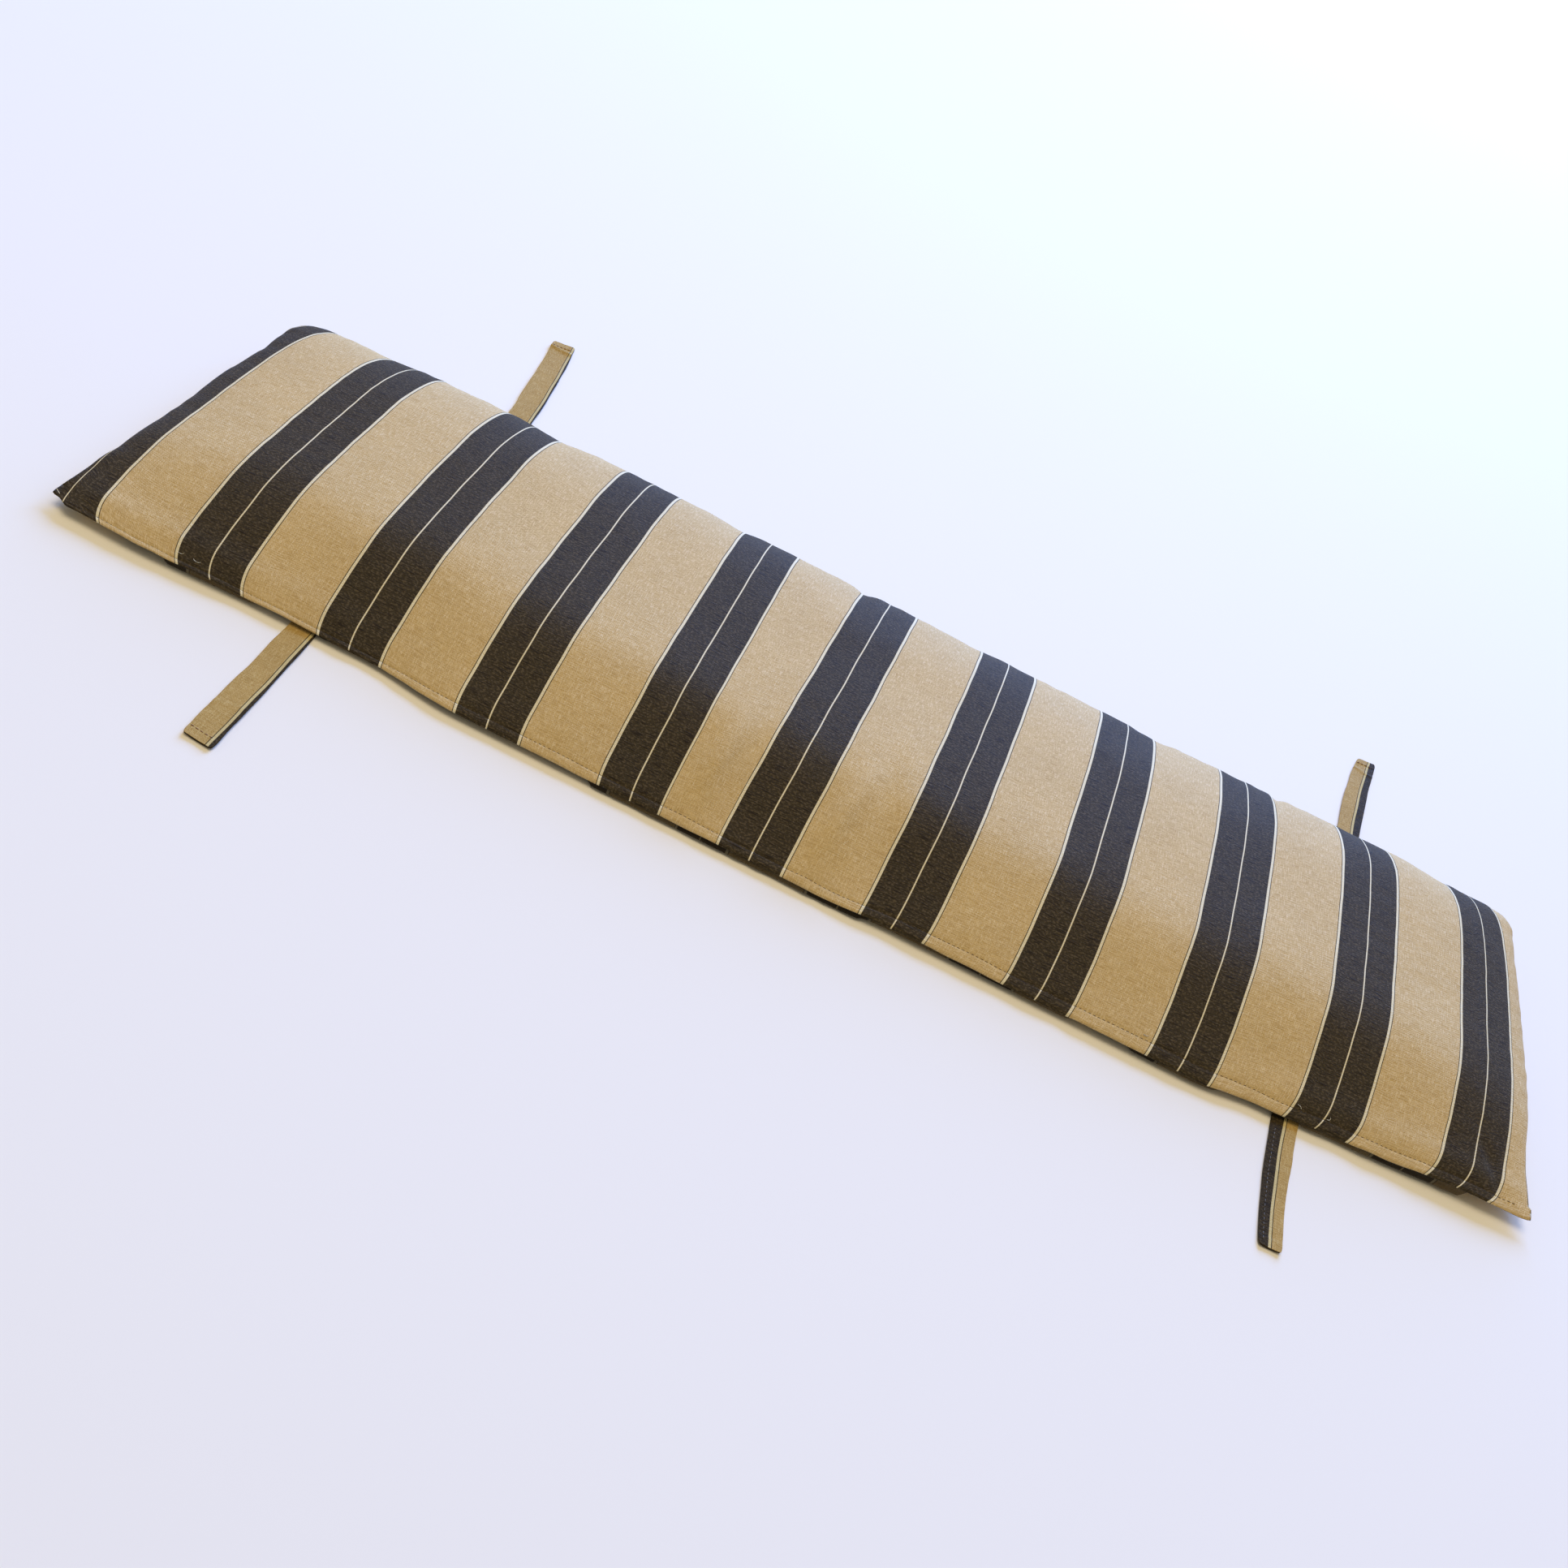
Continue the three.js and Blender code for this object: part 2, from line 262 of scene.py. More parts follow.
TIE_GROOVE = dict(inset=2.0, width=0.7, depth=0.22)
TIE_FOLD = dict(lean=0.25, width=2.2)
TIE_ROLL_START = 30.0
# Noise along a tie: in its width, in its middle line, in its thickness and in how far its
# edges roll up
TIE_WAVER = dict(wide=17.0, deep=90.0, height=0.35, seed=0)
TIE_DRIFT = dict(wide=15.0, deep=90.0, height=0.35, seed=1)
TIE_PUFF = dict(wide=8.0, deep=7.0, height=0.14, seed=2)
TIE_ROLL = dict(wide=34.0, deep=90.0, height=0.5, seed=3)
OUT_FROM_PAD = (32.0, 45.0)    # a near tie comes out from under the pad in this stretch
TIE_SEED = 20
TIE_SEED_STEP = 5

# Sewing: the length of a stitch, the gap to the next one and the thickness of the thread
STITCH_LENGTH = 2.9
STITCH_GAP = 0.9
STITCH_TURN = 0.05
THREAD = 0.55
THREAD_SIDES = 6
TIP_STITCHES = 14              # places that give the line across a tie's tip
SIDE_STITCHES = 60             # places that give the line along a tie's edge
# Loose ends of thread near the hem: place along the pad, height on the slope, length, turn
LOOSE_THREADS = [
    dict(x=-503.0, from_stitch=4.0, length=6.0, turn=0.3),
    dict(x=-490.0, from_stitch=4.5, length=8.0, turn=0.0),
    dict(x=284.0, from_stitch=2.0, length=6.0, turn=0.2),
    dict(x=414.0, from_stitch=1.5, length=6.0, turn=2.2),
    dict(x=433.0, from_stitch=1.5, length=7.0, turn=0.9),
]

# The grid of the cover. Its first rows are the under panel's hem, then the lip's edge, then
# the hem's face up to just past the stitches.
COLUMNS = 400
SLOPE_ROWS = 92
COLUMN_CROWDING = 0.5
ROW_CROWDING = 0.35
UNDER_HEM_ROWS = 4
LIP_ROWS = 3
HEM_ROWS = UNDER_HEM_ROWS + LIP_ROWS + len(HEM_STEPS)
STITCH_ROW = UNDER_HEM_ROWS + LIP_ROWS + HEM_STEPS.index(1.0)

# The cloth simulation: a coarser grid, swelled by the filling's pressure
SWELL_COLUMNS = 130
SWELL_ROWS = 38
SWELL_PRESSURE = 4.0
SWELL_FRAMES = 20
SWELL_VERTEX_MASS = 0.015
SWELL_STIFFNESS = 1.0
SWELL_HEIGHT = 2.4             # its movement is scaled down to this
PINNED_BORDER = 16.0           # the cloth is held this close to a seam
PIN_LEVELS = 10

# The photograph's camera, in metres, degrees and the photograph's own pixels
CAMERA_PLACE = (-0.0199, -0.9052, 0.7681)
CAMERA_TURN = dict(yaw=-0.673, pitch=42.787, roll=26.009)
FOCAL_PIXELS = 1800.0
PHOTO_PIXELS = 1932.0
SENSOR_WIDTH = 36.0

# The light: a cool window behind the cushion, a warm ceiling and an even warm room
LIGHTS = [
    dict(name="cool_window", place=(0.8, 7.0, 3.1), size=5.0, power=1560, color=(0.21, 0.41, 1.0)),
    dict(name="warm_ceiling", place=(-0.4, 0.6, 5.0), size=3.0, power=130, color=(1.0, 0.84, 0.58)),
]
ROOM_COLOR = (1.0, 0.895, 0.67, 1)
ROOM_STRENGTH = 0.37
FLOOR_REACH = 12.0
FLOOR_HEIGHT = -0.0004


# Numpy helpers

def smooth_step(start, end, value):
    """0 before start, 1 after end, and 3t^2 - 2t^3 in between."""
    t = np.clip((value - start) / (end - start), 0, 1)
    return t * t * (3 - 2 * t)


def bell(value, middle, width):
    """1 at the middle, and exp(-d^2) at d widths from it."""
    return np.exp(-(((value - middle) / width) ** 2))


def rounded_border(distance, width):
    """A quarter of an ellipse: 0 at the edge, 1 at width and beyond."""
    r = np.clip(1 - distance / width, 0, 1)
    return np.sqrt(1 - r * r)


def parabola(values, along):
    """The value at a share of the way of the parabola through values at 0, a half and 1."""
    first, middle, last = values
    t = along
    return first * (1 - t) * (1 - 2 * t) + middle * 4 * t * (1 - t) + last * t * (2 * t - 1)


def crowd(t, crowding):
    """Moves 0 to 1 so that steps are closer together at both ends, by a share of a sine."""
    s = 2 * t - 1
    return ((1 - crowding) * s + crowding * np.sin(math.pi / 2 * s) + 1) / 2


def cubic_weights(t):
    """The weights of four values in a row for the cubic at t between the two middle ones. It
    goes through both, and its slope at each is half the step between that one's neighbours."""
    return (
        0.5 * (-t + 2 * t**2 - t**3),
        0.5 * (2 - 5 * t**2 + 3 * t**3),
        0.5 * (t + 4 * t**2 - 3 * t**3),
        0.5 * (-(t**2) + t**3),
    )


def cubic_sample(grid, row, column):
    """The grid's values at fractional rows and columns, joined by cubics both ways."""
    total = np.zeros(np.broadcast(row, column).shape)
    r0 = np.floor(row).astype(int)
    c0 = np.floor(column).astype(int)
    row_weights = cubic_weights(row - r0)
    column_weights = cubic_weights(column - c0)
    for i, row_weight in enumerate(row_weights):
        r = np.clip(r0 + i - 1, 0, grid.shape[0] - 1)
        for j, column_weight in enumerate(column_weights):
            c = np.clip(c0 + j - 1, 0, grid.shape[1] - 1)
            total += row_weight * column_weight * grid[r, c]
    return total


def soft_noise(x, y, wide, deep, seed):
    """Smooth noise from about -1 to 1: random values on a grid of cells, joined by cubics."""
    values = np.random.default_rng(SEED + seed).uniform(-1, 1, (96, 512))
    return cubic_sample(values, (y + 400) / deep % 90 + 1, (x + 700) / wide % 500 + 1)


def columns_of(table, *names):
    """The named columns of a short table, each as an array."""
    return [np.array([row[name] for row in table]) for name in names]


def smooth_table(table, name, x):
    """A column of a table at x, going from each row's value to the next by a smooth step."""
    places, values = columns_of(table, "x", name)
    left = np.clip(np.searchsorted(places, x) - 1, 0, len(places) - 2)
    share = smooth_step(places[left], places[left + 1], x)
    return values[left] + share * (values[left + 1] - values[left])


def arc_length(line):
    """Distance along a line of points from its first one."""
    steps = np.linalg.norm(np.diff(line, axis=0), axis=1)
    return np.concatenate([[0], np.cumsum(steps)])


def beyond(x, places):
    """How far x lies outside a row of places."""
    return np.minimum(x - places[0], 0) + np.maximum(x - places[-1], 0)


# The shape of the pad, in millimetres

def near_edge(x):
    """y of the hem's edge: bowed out in the middle, drawn in towards the two ends."""
    return smooth_table(NEAR_SIDE, "edge", x)


def half_length(side, y, from_near):
    """Half the pad's length on one side, -1 or 1: longest at the near corner, less a bell for
    that side's waist, and less an arc of a circle at the far corner."""
    length = HALF + EAR_REACH * np.exp(-from_near / EAR_WIDTH)
    to_far = (FAR_SEAM - y).clip(0, CORNER_ROUND)
    length = length - CORNER_ROUND + np.sqrt(CORNER_ROUND**2 - (CORNER_ROUND - to_far) ** 2)
    for waist in WAISTS:
        drawn_in = waist["depth"] * bell(y, waist["y"], waist["width"])
        length = length - drawn_in * (side == waist["side"])
    return length


def lip_share(x):
    """1 where the hem hangs as a lip, 0 at the near corners."""
    return 1 - smooth_step(LIP_FADE["start"], LIP_FADE["end"], np.abs(x))


def far_nip(x):
    """How far the far seam is drawn in at x: a sum of bells."""
    return sum(nip["depth"] * bell(x, nip["x"], nip["width"]) for nip in FAR_NIPS)


def crease_depth(x, y):
    """Slanting troughs: each is the product of a bell along it and a bell across it."""
    depth = np.zeros_like(x)
    for crease in CREASES:
        middle = crease["x"] + crease["lean"] * (y - crease["y"])
        along = bell(y, crease["y"], crease["reach"])
        depth += crease["depth"] * along * bell(x, middle, crease["width"])
    return depth


def lump_height(x, y):
    """The filling's wide lumps and hollows: each is the product of two bells."""
    height = np.zeros_like(x)
    for lump in LUMPS:
        across = bell(y, lump["y"], lump["deep"])
        height += lump["height"] * across * bell(x, lump["x"], lump["wide"])
    return height


def noise_height(x, y, row, seed=0):
    """Soft noise with the cells and height of a row, drawn from the row's seed plus seed."""
    return row["height"] * soft_noise(x, y, row["wide"], row["deep"], seed + row["seed"])


def gathers(x, y, **to_seams):
    """Small gathers: noise that fades exponentially with the distance to each seam."""
    height = np.zeros_like(x)
    for seam, distance in to_seams.items():
        row = GATHERS[seam]
        height += noise_height(x, y, row) * np.exp(-distance / row["fade"])
    return height


def top_height(x, y, half):
    """Height of the top: a crown that falls to the seam as a quarter of an ellipse at the far
    side and the ends, and as a straight slope under a soft ridge at the near side."""
    to_end = (half - np.abs(x)).clip(0)
    to_far = (FAR_SEAM - y).clip(0)
    to_near = (y - near_edge(x)).clip(0)
    below_ridge = smooth_table(NEAR_SIDE, "ridge", x) - y
    fall = NEAR_SLOPE * RIDGE_SOFTNESS * np.log1p(np.exp(below_ridge / RIDGE_SOFTNESS))
    full = CROWN - SEAM_HEIGHT
    crown = full * rounded_border(to_end, END_ROUNDING) * rounded_border(to_far, FAR_ROUNDING)
    crown = crown * (1 - fall / full)
    inside = rounded_border(np.minimum(np.minimum(to_end, to_far), to_near), FLAT_INSET)
    relief = sum(noise_height(x, y, row) for row in UNEVENNESS)
    relief = relief + lump_height(x, y) - crease_depth(x, y) - RELIEF_SINK
    rolled = np.abs(smooth_table(ROLL_BEND, "bend", x)) * ROLL_FULLNESS
    relief = relief + rolled * bell(to_near, ROLL_SWELLING["inset"], ROLL_SWELLING["width"])
    ear = np.exp(-to_end / EAR_DROP_WIDTH) * np.exp(-to_near / EAR_DROP_WIDTH)
    height = SEAM_HEIGHT + crown + inside * relief
    return height + gathers(x, y, far=to_far, near=to_near, end=to_end) - EAR_DROP * ear


def hem_rows(x, near, share):
    """The rows below and at the stitch line: out from under the lip, round its edge and up
    its face, which bulges as half a sine and is pulled in as a bell under the stitches. Each
    row is (y, z), and share fades the lip into the corners."""
    width = smooth_table(HEM_WIDTHS, "width", x)
    side = np.sign(x)
    edge = top_height(x, near, half_length(side, near, 0.0))
    wave = noise_height(x, near, HEM_WAVE) * share
    ragged = noise_height(x, near, PEEP_RAGGEDNESS)
    forward = np.full_like(x, HIDDEN["forward"])
    bottom = edge - HIDDEN["drop"]
    for peep in PEEPS:
        rise = smooth_step(peep["start"] - PEEP_FADE, peep["start"] + PEEP_FADE, x)
        shown = rise * (1 - smooth_step(peep["end"] - PEEP_FADE, peep["end"] + PEEP_FADE, x))
        forward += shown * (peep["forward"] + ragged - forward)
        bottom += shown * (peep["bottom"] + ragged - bottom)
    forward = forward * share
    bottom = edge - 0.3 + share * (bottom - edge + 0.3)
    rows = [
        # The under panel's hem from its back round its lower edge, and the gap above it
        (near - forward + 1.6 * share, bottom - 0.2 * share),
        (near - forward + 0.2 * share, bottom),
        (near - forward, bottom + 0.30 * (edge - bottom)),
        (near + np.maximum(0.9 * share, -forward) + 0.5 * share, edge - 0.9 * share),
        # The lip from its underside round its edge
        (near + 0.7 * share - 0.05, edge - 0.3 * share + wave),
        (near, edge + 0.1 * share + wave),
        (near + 0.1, edge + 0.5 + 0.5 * share + wave),
    ]
    for step in HEM_STEPS:
        bulge = HEM_BULGE * math.sin(math.pi * min(step, 1.0)) * share
        sunk = STITCH_SINK * bell(step, 1.0, 0.06) * share
        y = near + width * step
        half = half_length(side, y, width * step)
        rows.append((y, top_height(x, y, half) + bulge - sunk + HEM_LIFT + 0.3 * wave))
    return rows, width


def top_surface(columns, rows):
    """The top panel with its hem, as points on a grid whose rows run from the hem to the far
    seam. Each row is as long as the pad is there. The far seam is nipped in by bells, and the
    seams of the ends wander by noise."""
    along = 2 * crowd(np.linspace(0, 1, columns + 1), COLUMN_CROWDING) - 1
    side = np.sign(along)
    corner_y = np.where(side < 0, near_edge(-REACH), near_edge(REACH))
    hem_x = along * half_length(side, corner_y, 0.0)
    near = near_edge(hem_x)
    hem, width = hem_rows(hem_x, near, lip_share(hem_x))
    hem_y = np.array([row[0] for row in hem])
    hem_z = np.array([row[1] for row in hem])

    across = crowd(np.linspace(0, 1, rows + 1), ROW_CROWDING)[1:, None]
    start = near + width * HEM_STEPS[-1]
    slope_y = start + across * (FAR_SEAM - start)
    half = half_length(side, slope_y, slope_y - near)
    slope_x = along * half
    slope_z = top_height(slope_x, slope_y, half)
    slope_z += HEM_LIFT * np.exp(-(slope_y - start) / HEM_LIFT_FADE)

    x = np.vstack([np.broadcast_to(hem_x, hem_y.shape), slope_x])
    y = np.vstack([hem_y, slope_y])
    z = np.vstack([hem_z, slope_z])
    to_far = (FAR_SEAM - y).clip(0)
    y = y - far_nip(x) * np.exp(-to_far / NIP_FADE)
    z = z - NIP_DENT["share"] * far_nip(x) * bell(to_far, NIP_DENT["inset"], NIP_DENT["width"])
    to_end = (half_length(side, y, (y - near).clip(0)) - np.abs(x)).clip(0)
    wander = noise_height(x, y, END_WANDER) - END_WANDER["height"] / 2
    wander = wander * np.exp(-to_end / END_WANDER["fade"]) * smooth_step(0, 20, y - near)
    x = x + np.sign(x) * wander * (to_far > 0)
    return np.stack([x, y, z], -1)


def under_surface(top):
    """The under panel on the same grid, sharing the top's rim. It lies on the floor and rises
    to the rim as a power of the distance from it, or behind the hem as its short table says.
    Towards the two ends its columns are pulled along with the rim."""
    across = crowd(np.linspace(0, 1, top.shape[0]), 1.0)[:, None]
    first = top[0]
    last = top[-1]
    x = first[:, 0] + across * (last[:, 0] - first[:, 0])
    y = first[:, 1] + across * (last[:, 1] - first[:, 1])
    to_end = np.minimum(x - x[:, :1], x[:, -1:] - x)
    pull = np.exp(-to_end / RIM_PULL)
    side_y = np.where(x < 0, top[:, :1, 1], top[:, -1:, 1])
    side_x = np.where(x < 0, top[:, :1, 0] - x[:, :1], top[:, -1:, 0] - x[:, -1:])
    y = y + pull * (side_y - y)
    x = x + pull * side_x

    def rising(rim, distance):
        return rim * (1 - distance / FLAT_INSET).clip(0) ** SIDE_CURVE

    to_near = y - first[:, 1]
    to_end = np.minimum(x - x[:, :1], x[:, -1:] - x)
    end_z = rising(np.where(x < 0, top[:, :1, 2], top[:, -1:, 2]), to_end)
    far_z = rising(last[:, 2], last[:, 1] - y)
    insets, heights = columns_of(BEHIND_HEM, "inset", "height")
    to_rim = (first[:, 2] - heights[0]) * np.exp(-to_near / BEHIND_HEM_BLEND)
    lip_z = np.interp(to_near, insets, heights) + to_rim
    share = lip_share(x)
    near_z = share * lip_z + (1 - share) * rising(first[:, 2], to_near)
    z = np.maximum(np.maximum(end_z, far_z), near_z)
    under = np.stack([x, y, z.clip(0)], -1)
    under[0], under[-1] = top[0], top[-1]
    under[:, 0], under[:, -1] = top[:, 0], top[:, -1]
    return under


# The cloth simulation

def swell(top):
    """The top moved as the simulation of a coarser cover moves it: its rows and columns are
    looked up on the coarse grid, joined by cubics."""
    moved = simulated_movement()
    past_hem = np.arange(top.shape[0]) - (HEM_ROWS - 1)
    rows = past_hem.clip(0) * SWELL_ROWS / SLOPE_ROWS
    columns = np.arange(top.shape[1]) * SWELL_COLUMNS / COLUMNS
    moves = [cubic_sample(moved[..., axis], rows[:, None], columns[None]) for axis in range(3)]
    return top + np.stack(moves, -1)


def simulated_movement():
    """How far each point of the coarse top, from the hem's seam on, moves when the filling
    presses outwards for a few frames, scaled down. The flat underside and all seams are
    pinned, and there is no gravity."""
    top = top_surface(SWELL_COLUMNS, SWELL_ROWS)[HEM_ROWS - 1:]
    top_index, under_index, points = join_panels(top, top * (1, 1, 0))
    faces = np.vstack([grid_faces(top_index), grid_faces(under_index)[:, ::-1]])
    mesh = bpy.data.meshes.new("swelling_cover")
    mesh.from_pydata((points * MM).tolist(), [], faces.tolist())
    cover = bpy.data.objects.new("swelling_cover", mesh)
    bpy.context.scene.collection.objects.link(cover)
    pin_seams(cover, top, top_index)
    press_outwards(cover)
    scene = bpy.context.scene
    for number in range(1, SWELL_FRAMES + 1):
        scene.frame_set(number)
    swollen = cover.evaluated_get(bpy.context.evaluated_depsgraph_get()).to_mesh()
    flat = np.empty(3 * len(points), np.float32)
    swollen.vertices.foreach_get("co", flat)
    bpy.data.objects.remove(cover)
    bpy.data.meshes.remove(mesh)
    scene.frame_set(1)
    moved = flat.reshape(-1, 3)[top_index] / MM - top
    furthest = max(float(np.linalg.norm(moved, axis=-1).max()), SWELL_HEIGHT)
    return moved * SWELL_HEIGHT / furthest


def pin_seams(cover, top, top_index):
    """Pins the whole underside, and the top by a smooth step towards its seams, in levels."""
    to_end = np.minimum(top[..., 0] - top[:, :1, 0], top[:, -1:, 0] - top[..., 0])
    to_side = np.minimum(top[-1, :, 1] - top[..., 1], top[..., 1] - top[0, :, 1])
    held = 1 - smooth_step(0, PINNED_BORDER, np.minimum(to_end, to_side))
    pins = cover.vertex_groups.new(name="pinned")
    pins.add(list(range(top_index.size, len(cover.data.vertices))), 1.0, "REPLACE")
    for level in range(PIN_LEVELS + 1):
        chosen = top_index[np.round(held * PIN_LEVELS).astype(int) == level]
        pins.add(chosen.tolist(), level / PIN_LEVELS, "REPLACE")


def press_outwards(cover):
    """Cloth that is pressed outwards, held by its pins."""
    cloth = cover.modifiers.new("cloth", "CLOTH")
    cloth.settings.quality = 6
    cloth.settings.mass = SWELL_VERTEX_MASS
    cloth.settings.tension_stiffness = SWELL_STIFFNESS
    cloth.settings.compression_stiffness = SWELL_STIFFNESS
    cloth.settings.shear_stiffness = SWELL_STIFFNESS
    cloth.settings.bending_stiffness = SWELL_STIFFNESS
    cloth.settings.vertex_group_mass = "pinned"
    cloth.settings.use_pressure = True
    cloth.settings.uniform_pressure_force = SWELL_PRESSURE
    cloth.settings.effector_weights.gravity = 0
    cloth.point_cache.frame_start = 1
    cloth.point_cache.frame_end = SWELL_FRAMES


# The weave's own places on the cloth

def stripe_place(surface):
    """Place across the stripes of each point, in millimetres: the length of the arc along the
    plain crown, less the stripes' lean, which grows from the far seam to the near one and has
    an exponential bend at both, plus the cloth's stretch."""
    middle_column = surface[:, surface.shape[1] // 2, 1]
    crown = surface[int(np.argmin(np.abs(middle_column - CROWN_LINE))), :, 0]
    to_end = (HALF - np.abs(crown)).clip(0)
    plain = (CROWN - SEAM_HEIGHT) * rounded_border(to_end, END_ROUNDING)
    arc = arc_length(np.stack([crown, plain], -1))
    arc -= np.interp(0, crown, arc)
    x = surface[..., 0]
    y = surface[..., 1]
    arc = np.interp(x, crown, arc) + beyond(x, crown)
    t = ((FAR_SEAM - y) / (2 * FAR_SEAM)).clip(0, 1)
    blend = ((arc - SLANT_CHANGE[0]) / (SLANT_CHANGE[1] - SLANT_CHANGE[0])).clip(0, 1)
    lean = t * (LEFT_SLANT + blend * (RIGHT_SLANT - LEFT_SLANT))
    to_near = (y - near_edge(x)).clip(0)
    lean += smooth_table(ROLL_BEND, "bend", x) * np.exp(-to_near / ROLL_REACH)
    to_far = (FAR_SEAM - y).clip(0)
    lean += smooth_table(FAR_BEND, "bend", x) * np.exp(-to_far / FAR_BEND_REACH)
    stretch = END_STRETCH["by"] * (arc / END_STRETCH["at"]) ** 2
    stretch -= SLACK["by"] * bell(arc, SLACK["at"], SLACK["width"])
    return arc - lean + stretch


def across_place(surface):
    """Length of the arc across the cloth from its first row, in millimetres."""
    step = np.linalg.norm(np.diff(surface[..., 1:], axis=0), axis=-1)
    return np.vstack([np.zeros(surface.shape[1]), np.cumsum(step, axis=0)])


# Meshes

def grid_faces(index):
    """Four-sided faces of a grid of vertex numbers, facing up where rows run towards +Y."""
    corners = [index[:-1, :-1], index[:-1, 1:], index[1:, 1:], index[1:, :-1]]
    return np.stack(corners, -1).reshape(-1, 4)


def tube_walls(index):
    """Faces of a tube from the vertex numbers of its rings, open at both ends."""
    return grid_faces(np.hstack([index, index[:, :1]]))


def thread_faces(rings):
    """Faces of a closed tube of thread whose rings have six points each."""
    index = np.arange(rings * THREAD_SIDES).reshape(rings, THREAD_SIDES)
    cap = np.array([[0, 1, 2, 3], [0, 3, 4, 5]])
    return np.vstack([tube_walls(index), cap, index[-1][cap[:, ::-1]]])


def mesh_piece(name, points, faces, material, loop_uv=None, **point_values):
    """An object at the origin with points in metres, faces, a UV map named cloth given for
    each face corner in metres, and named values for each point."""
    mesh = bpy.data.meshes.new(name)
    mesh.from_pydata((points * MM).tolist(), [], faces.tolist())
    mesh.polygons.foreach_set("use_smooth", np.ones(len(mesh.polygons), bool))
    if loop_uv is not None:
        layer = mesh.uv_layers.new(name="cloth")
        layer.data.foreach_set("uv", (loop_uv * MM).astype(np.float32).ravel())
    for key, values in point_values.items():
        attribute = mesh.attributes.new(key, "FLOAT", "POINT")
        attribute.data.foreach_set("value", values.astype(np.float32).ravel())
    mesh.materials.append(material)
    mesh.validate()
    mesh.update()
    piece = bpy.data.objects.new(name, mesh)
    bpy.context.scene.collection.objects.link(piece)
    return piece


def turn_outwards(piece, open_rings=()):
    """Fills open rings of vertices with a face and turns every face outwards."""
    work = bmesh.new()
    work.from_mesh(piece.data)
    work.verts.ensure_lookup_table()
    for ring in open_rings:
        work.faces.new([work.verts[i] for i in ring])
    bmesh.ops.recalc_face_normals(work, faces=work.faces)
    work.to_mesh(piece.data)
    work.free()
    piece.data.polygons.foreach_set("use_smooth", np.ones(len(piece.data.polygons), bool))


def join_panels(top, under):
    """The vertex number of each place of two panels, which share the rim, and all points."""
    shape = top.shape[:2]
    top_index = np.arange(top[..., 0].size).reshape(shape)
    under_index = np.full(shape, -1)
    under_index[0], under_index[-1] = top_index[0], top_index[-1]
    under_index[:, 0], under_index[:, -1] = top_index[:, 0], top_index[:, -1]
    inner = under_index < 0
    under_index[inner] = top_index.size + np.arange(inner.sum())
    points = np.vstack([top.reshape(-1, 3), under[inner]])
    return top_index, under_index, points


# The cover

def make_cover(material):
    """The filled cover: both panels as one closed mesh, with the weave's places as its UV map
    and a value that marks the under panel's hem below the lip, whose colour is darkened there
    as painted shade. The under panel's stripes are shifted against the top's, except at the
    near corners, where the two meet."""
    top = swell(top_surface(COLUMNS, SLOPE_ROWS))
    under = under_surface(top)
    top_index, under_index, points = join_panels(top, under)
    top_uv = np.stack([stripe_place(top), across_place(top)], -1)
    hem = slice(0, UNDER_HEM_ROWS)
    top_uv[hem, :, 0] += UNDER_SHIFT * lip_share(top[hem, :, 0])
    to_near = np.abs(under[..., 1] - under[:1, :, 1])
    at_ear = (1 - lip_share(under[..., 0])) * np.exp(-to_near / EAR_WIDTH)
    under_place = stripe_place(under) + UNDER_SHIFT * (1 - at_ear)
    under_uv = np.stack([under_place, -across_place(under)], -1)
    corners = grid_faces(top_index)
    loop_uv = np.vstack([
        top_uv.reshape(-1, 2)[corners.ravel()],
        under_uv.reshape(-1, 2)[corners[:, ::-1].ravel()],
    ])
    # Painted shade: marks the under panel's hem below the lip, which the cloth's material darkens as if
    # it lay in shade
    shade = np.zeros(len(points))
    shade[top_index[hem].ravel()] = 1.0
    faces = np.vstack([corners, grid_faces(under_index)[:, ::-1]])
    cover = mesh_piece("bench_cushion_cover", points, faces, material, loop_uv, hem_shade=shade)
    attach(cover, "root")
    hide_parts("cushion")
    return top


# The ties

def tie_seed(tie):
    """The number that starts a tie's own random draws."""
    return TIE_SEED + TIE_SEED_STEP * TIES.index(tie)


def tie_route(tie, along):
    """Points of a tie's middle line at shares of its length: a parabola through its three
    places in the plan. A far tie comes down from the seam in a soft S, a near one lies flat."""
    low, high = [np.array(corner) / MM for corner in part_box(tie["name"])]
    slack = abs(tie["skew"]) / 2
    if tie["side"] == "near":
        y = high[1] + along * (low[1] + slack - high[1])
        z = np.zeros_like(along)
    else:
        y = low[1] + along * (high[1] - slack - low[1])
        z = TIE_ROOT_LIFT * (1 - smooth_step(0, FAR_TIE_DROP, y - low[1]))
    return np.stack([parabola(tie["xs"], along), y, z], -1)


def tie_run(tie, along):
    """Distances from the root and to the tip, at shares of a tie's length."""
    shares = np.linspace(0, 1, 200)
    arc = arc_length(tie_route(tie, shares))
    run = np.interp(along, shares, arc)
    return run, arc[-1] - run


def line_frame(line):
    """Level directions across a line towards +X, and directions out of its upper face."""
    ahead = np.gradient(line, axis=0)
    ahead /= np.linalg.norm(ahead, axis=1, keepdims=True)
    across = np.cross(ahead, (0, 0, 1.0))
    across *= np.sign(across[:, :1]) / np.linalg.norm(across, axis=1, keepdims=True)
    up = np.cross(ahead, across)
    return across, up * np.sign(up[:, 2:])


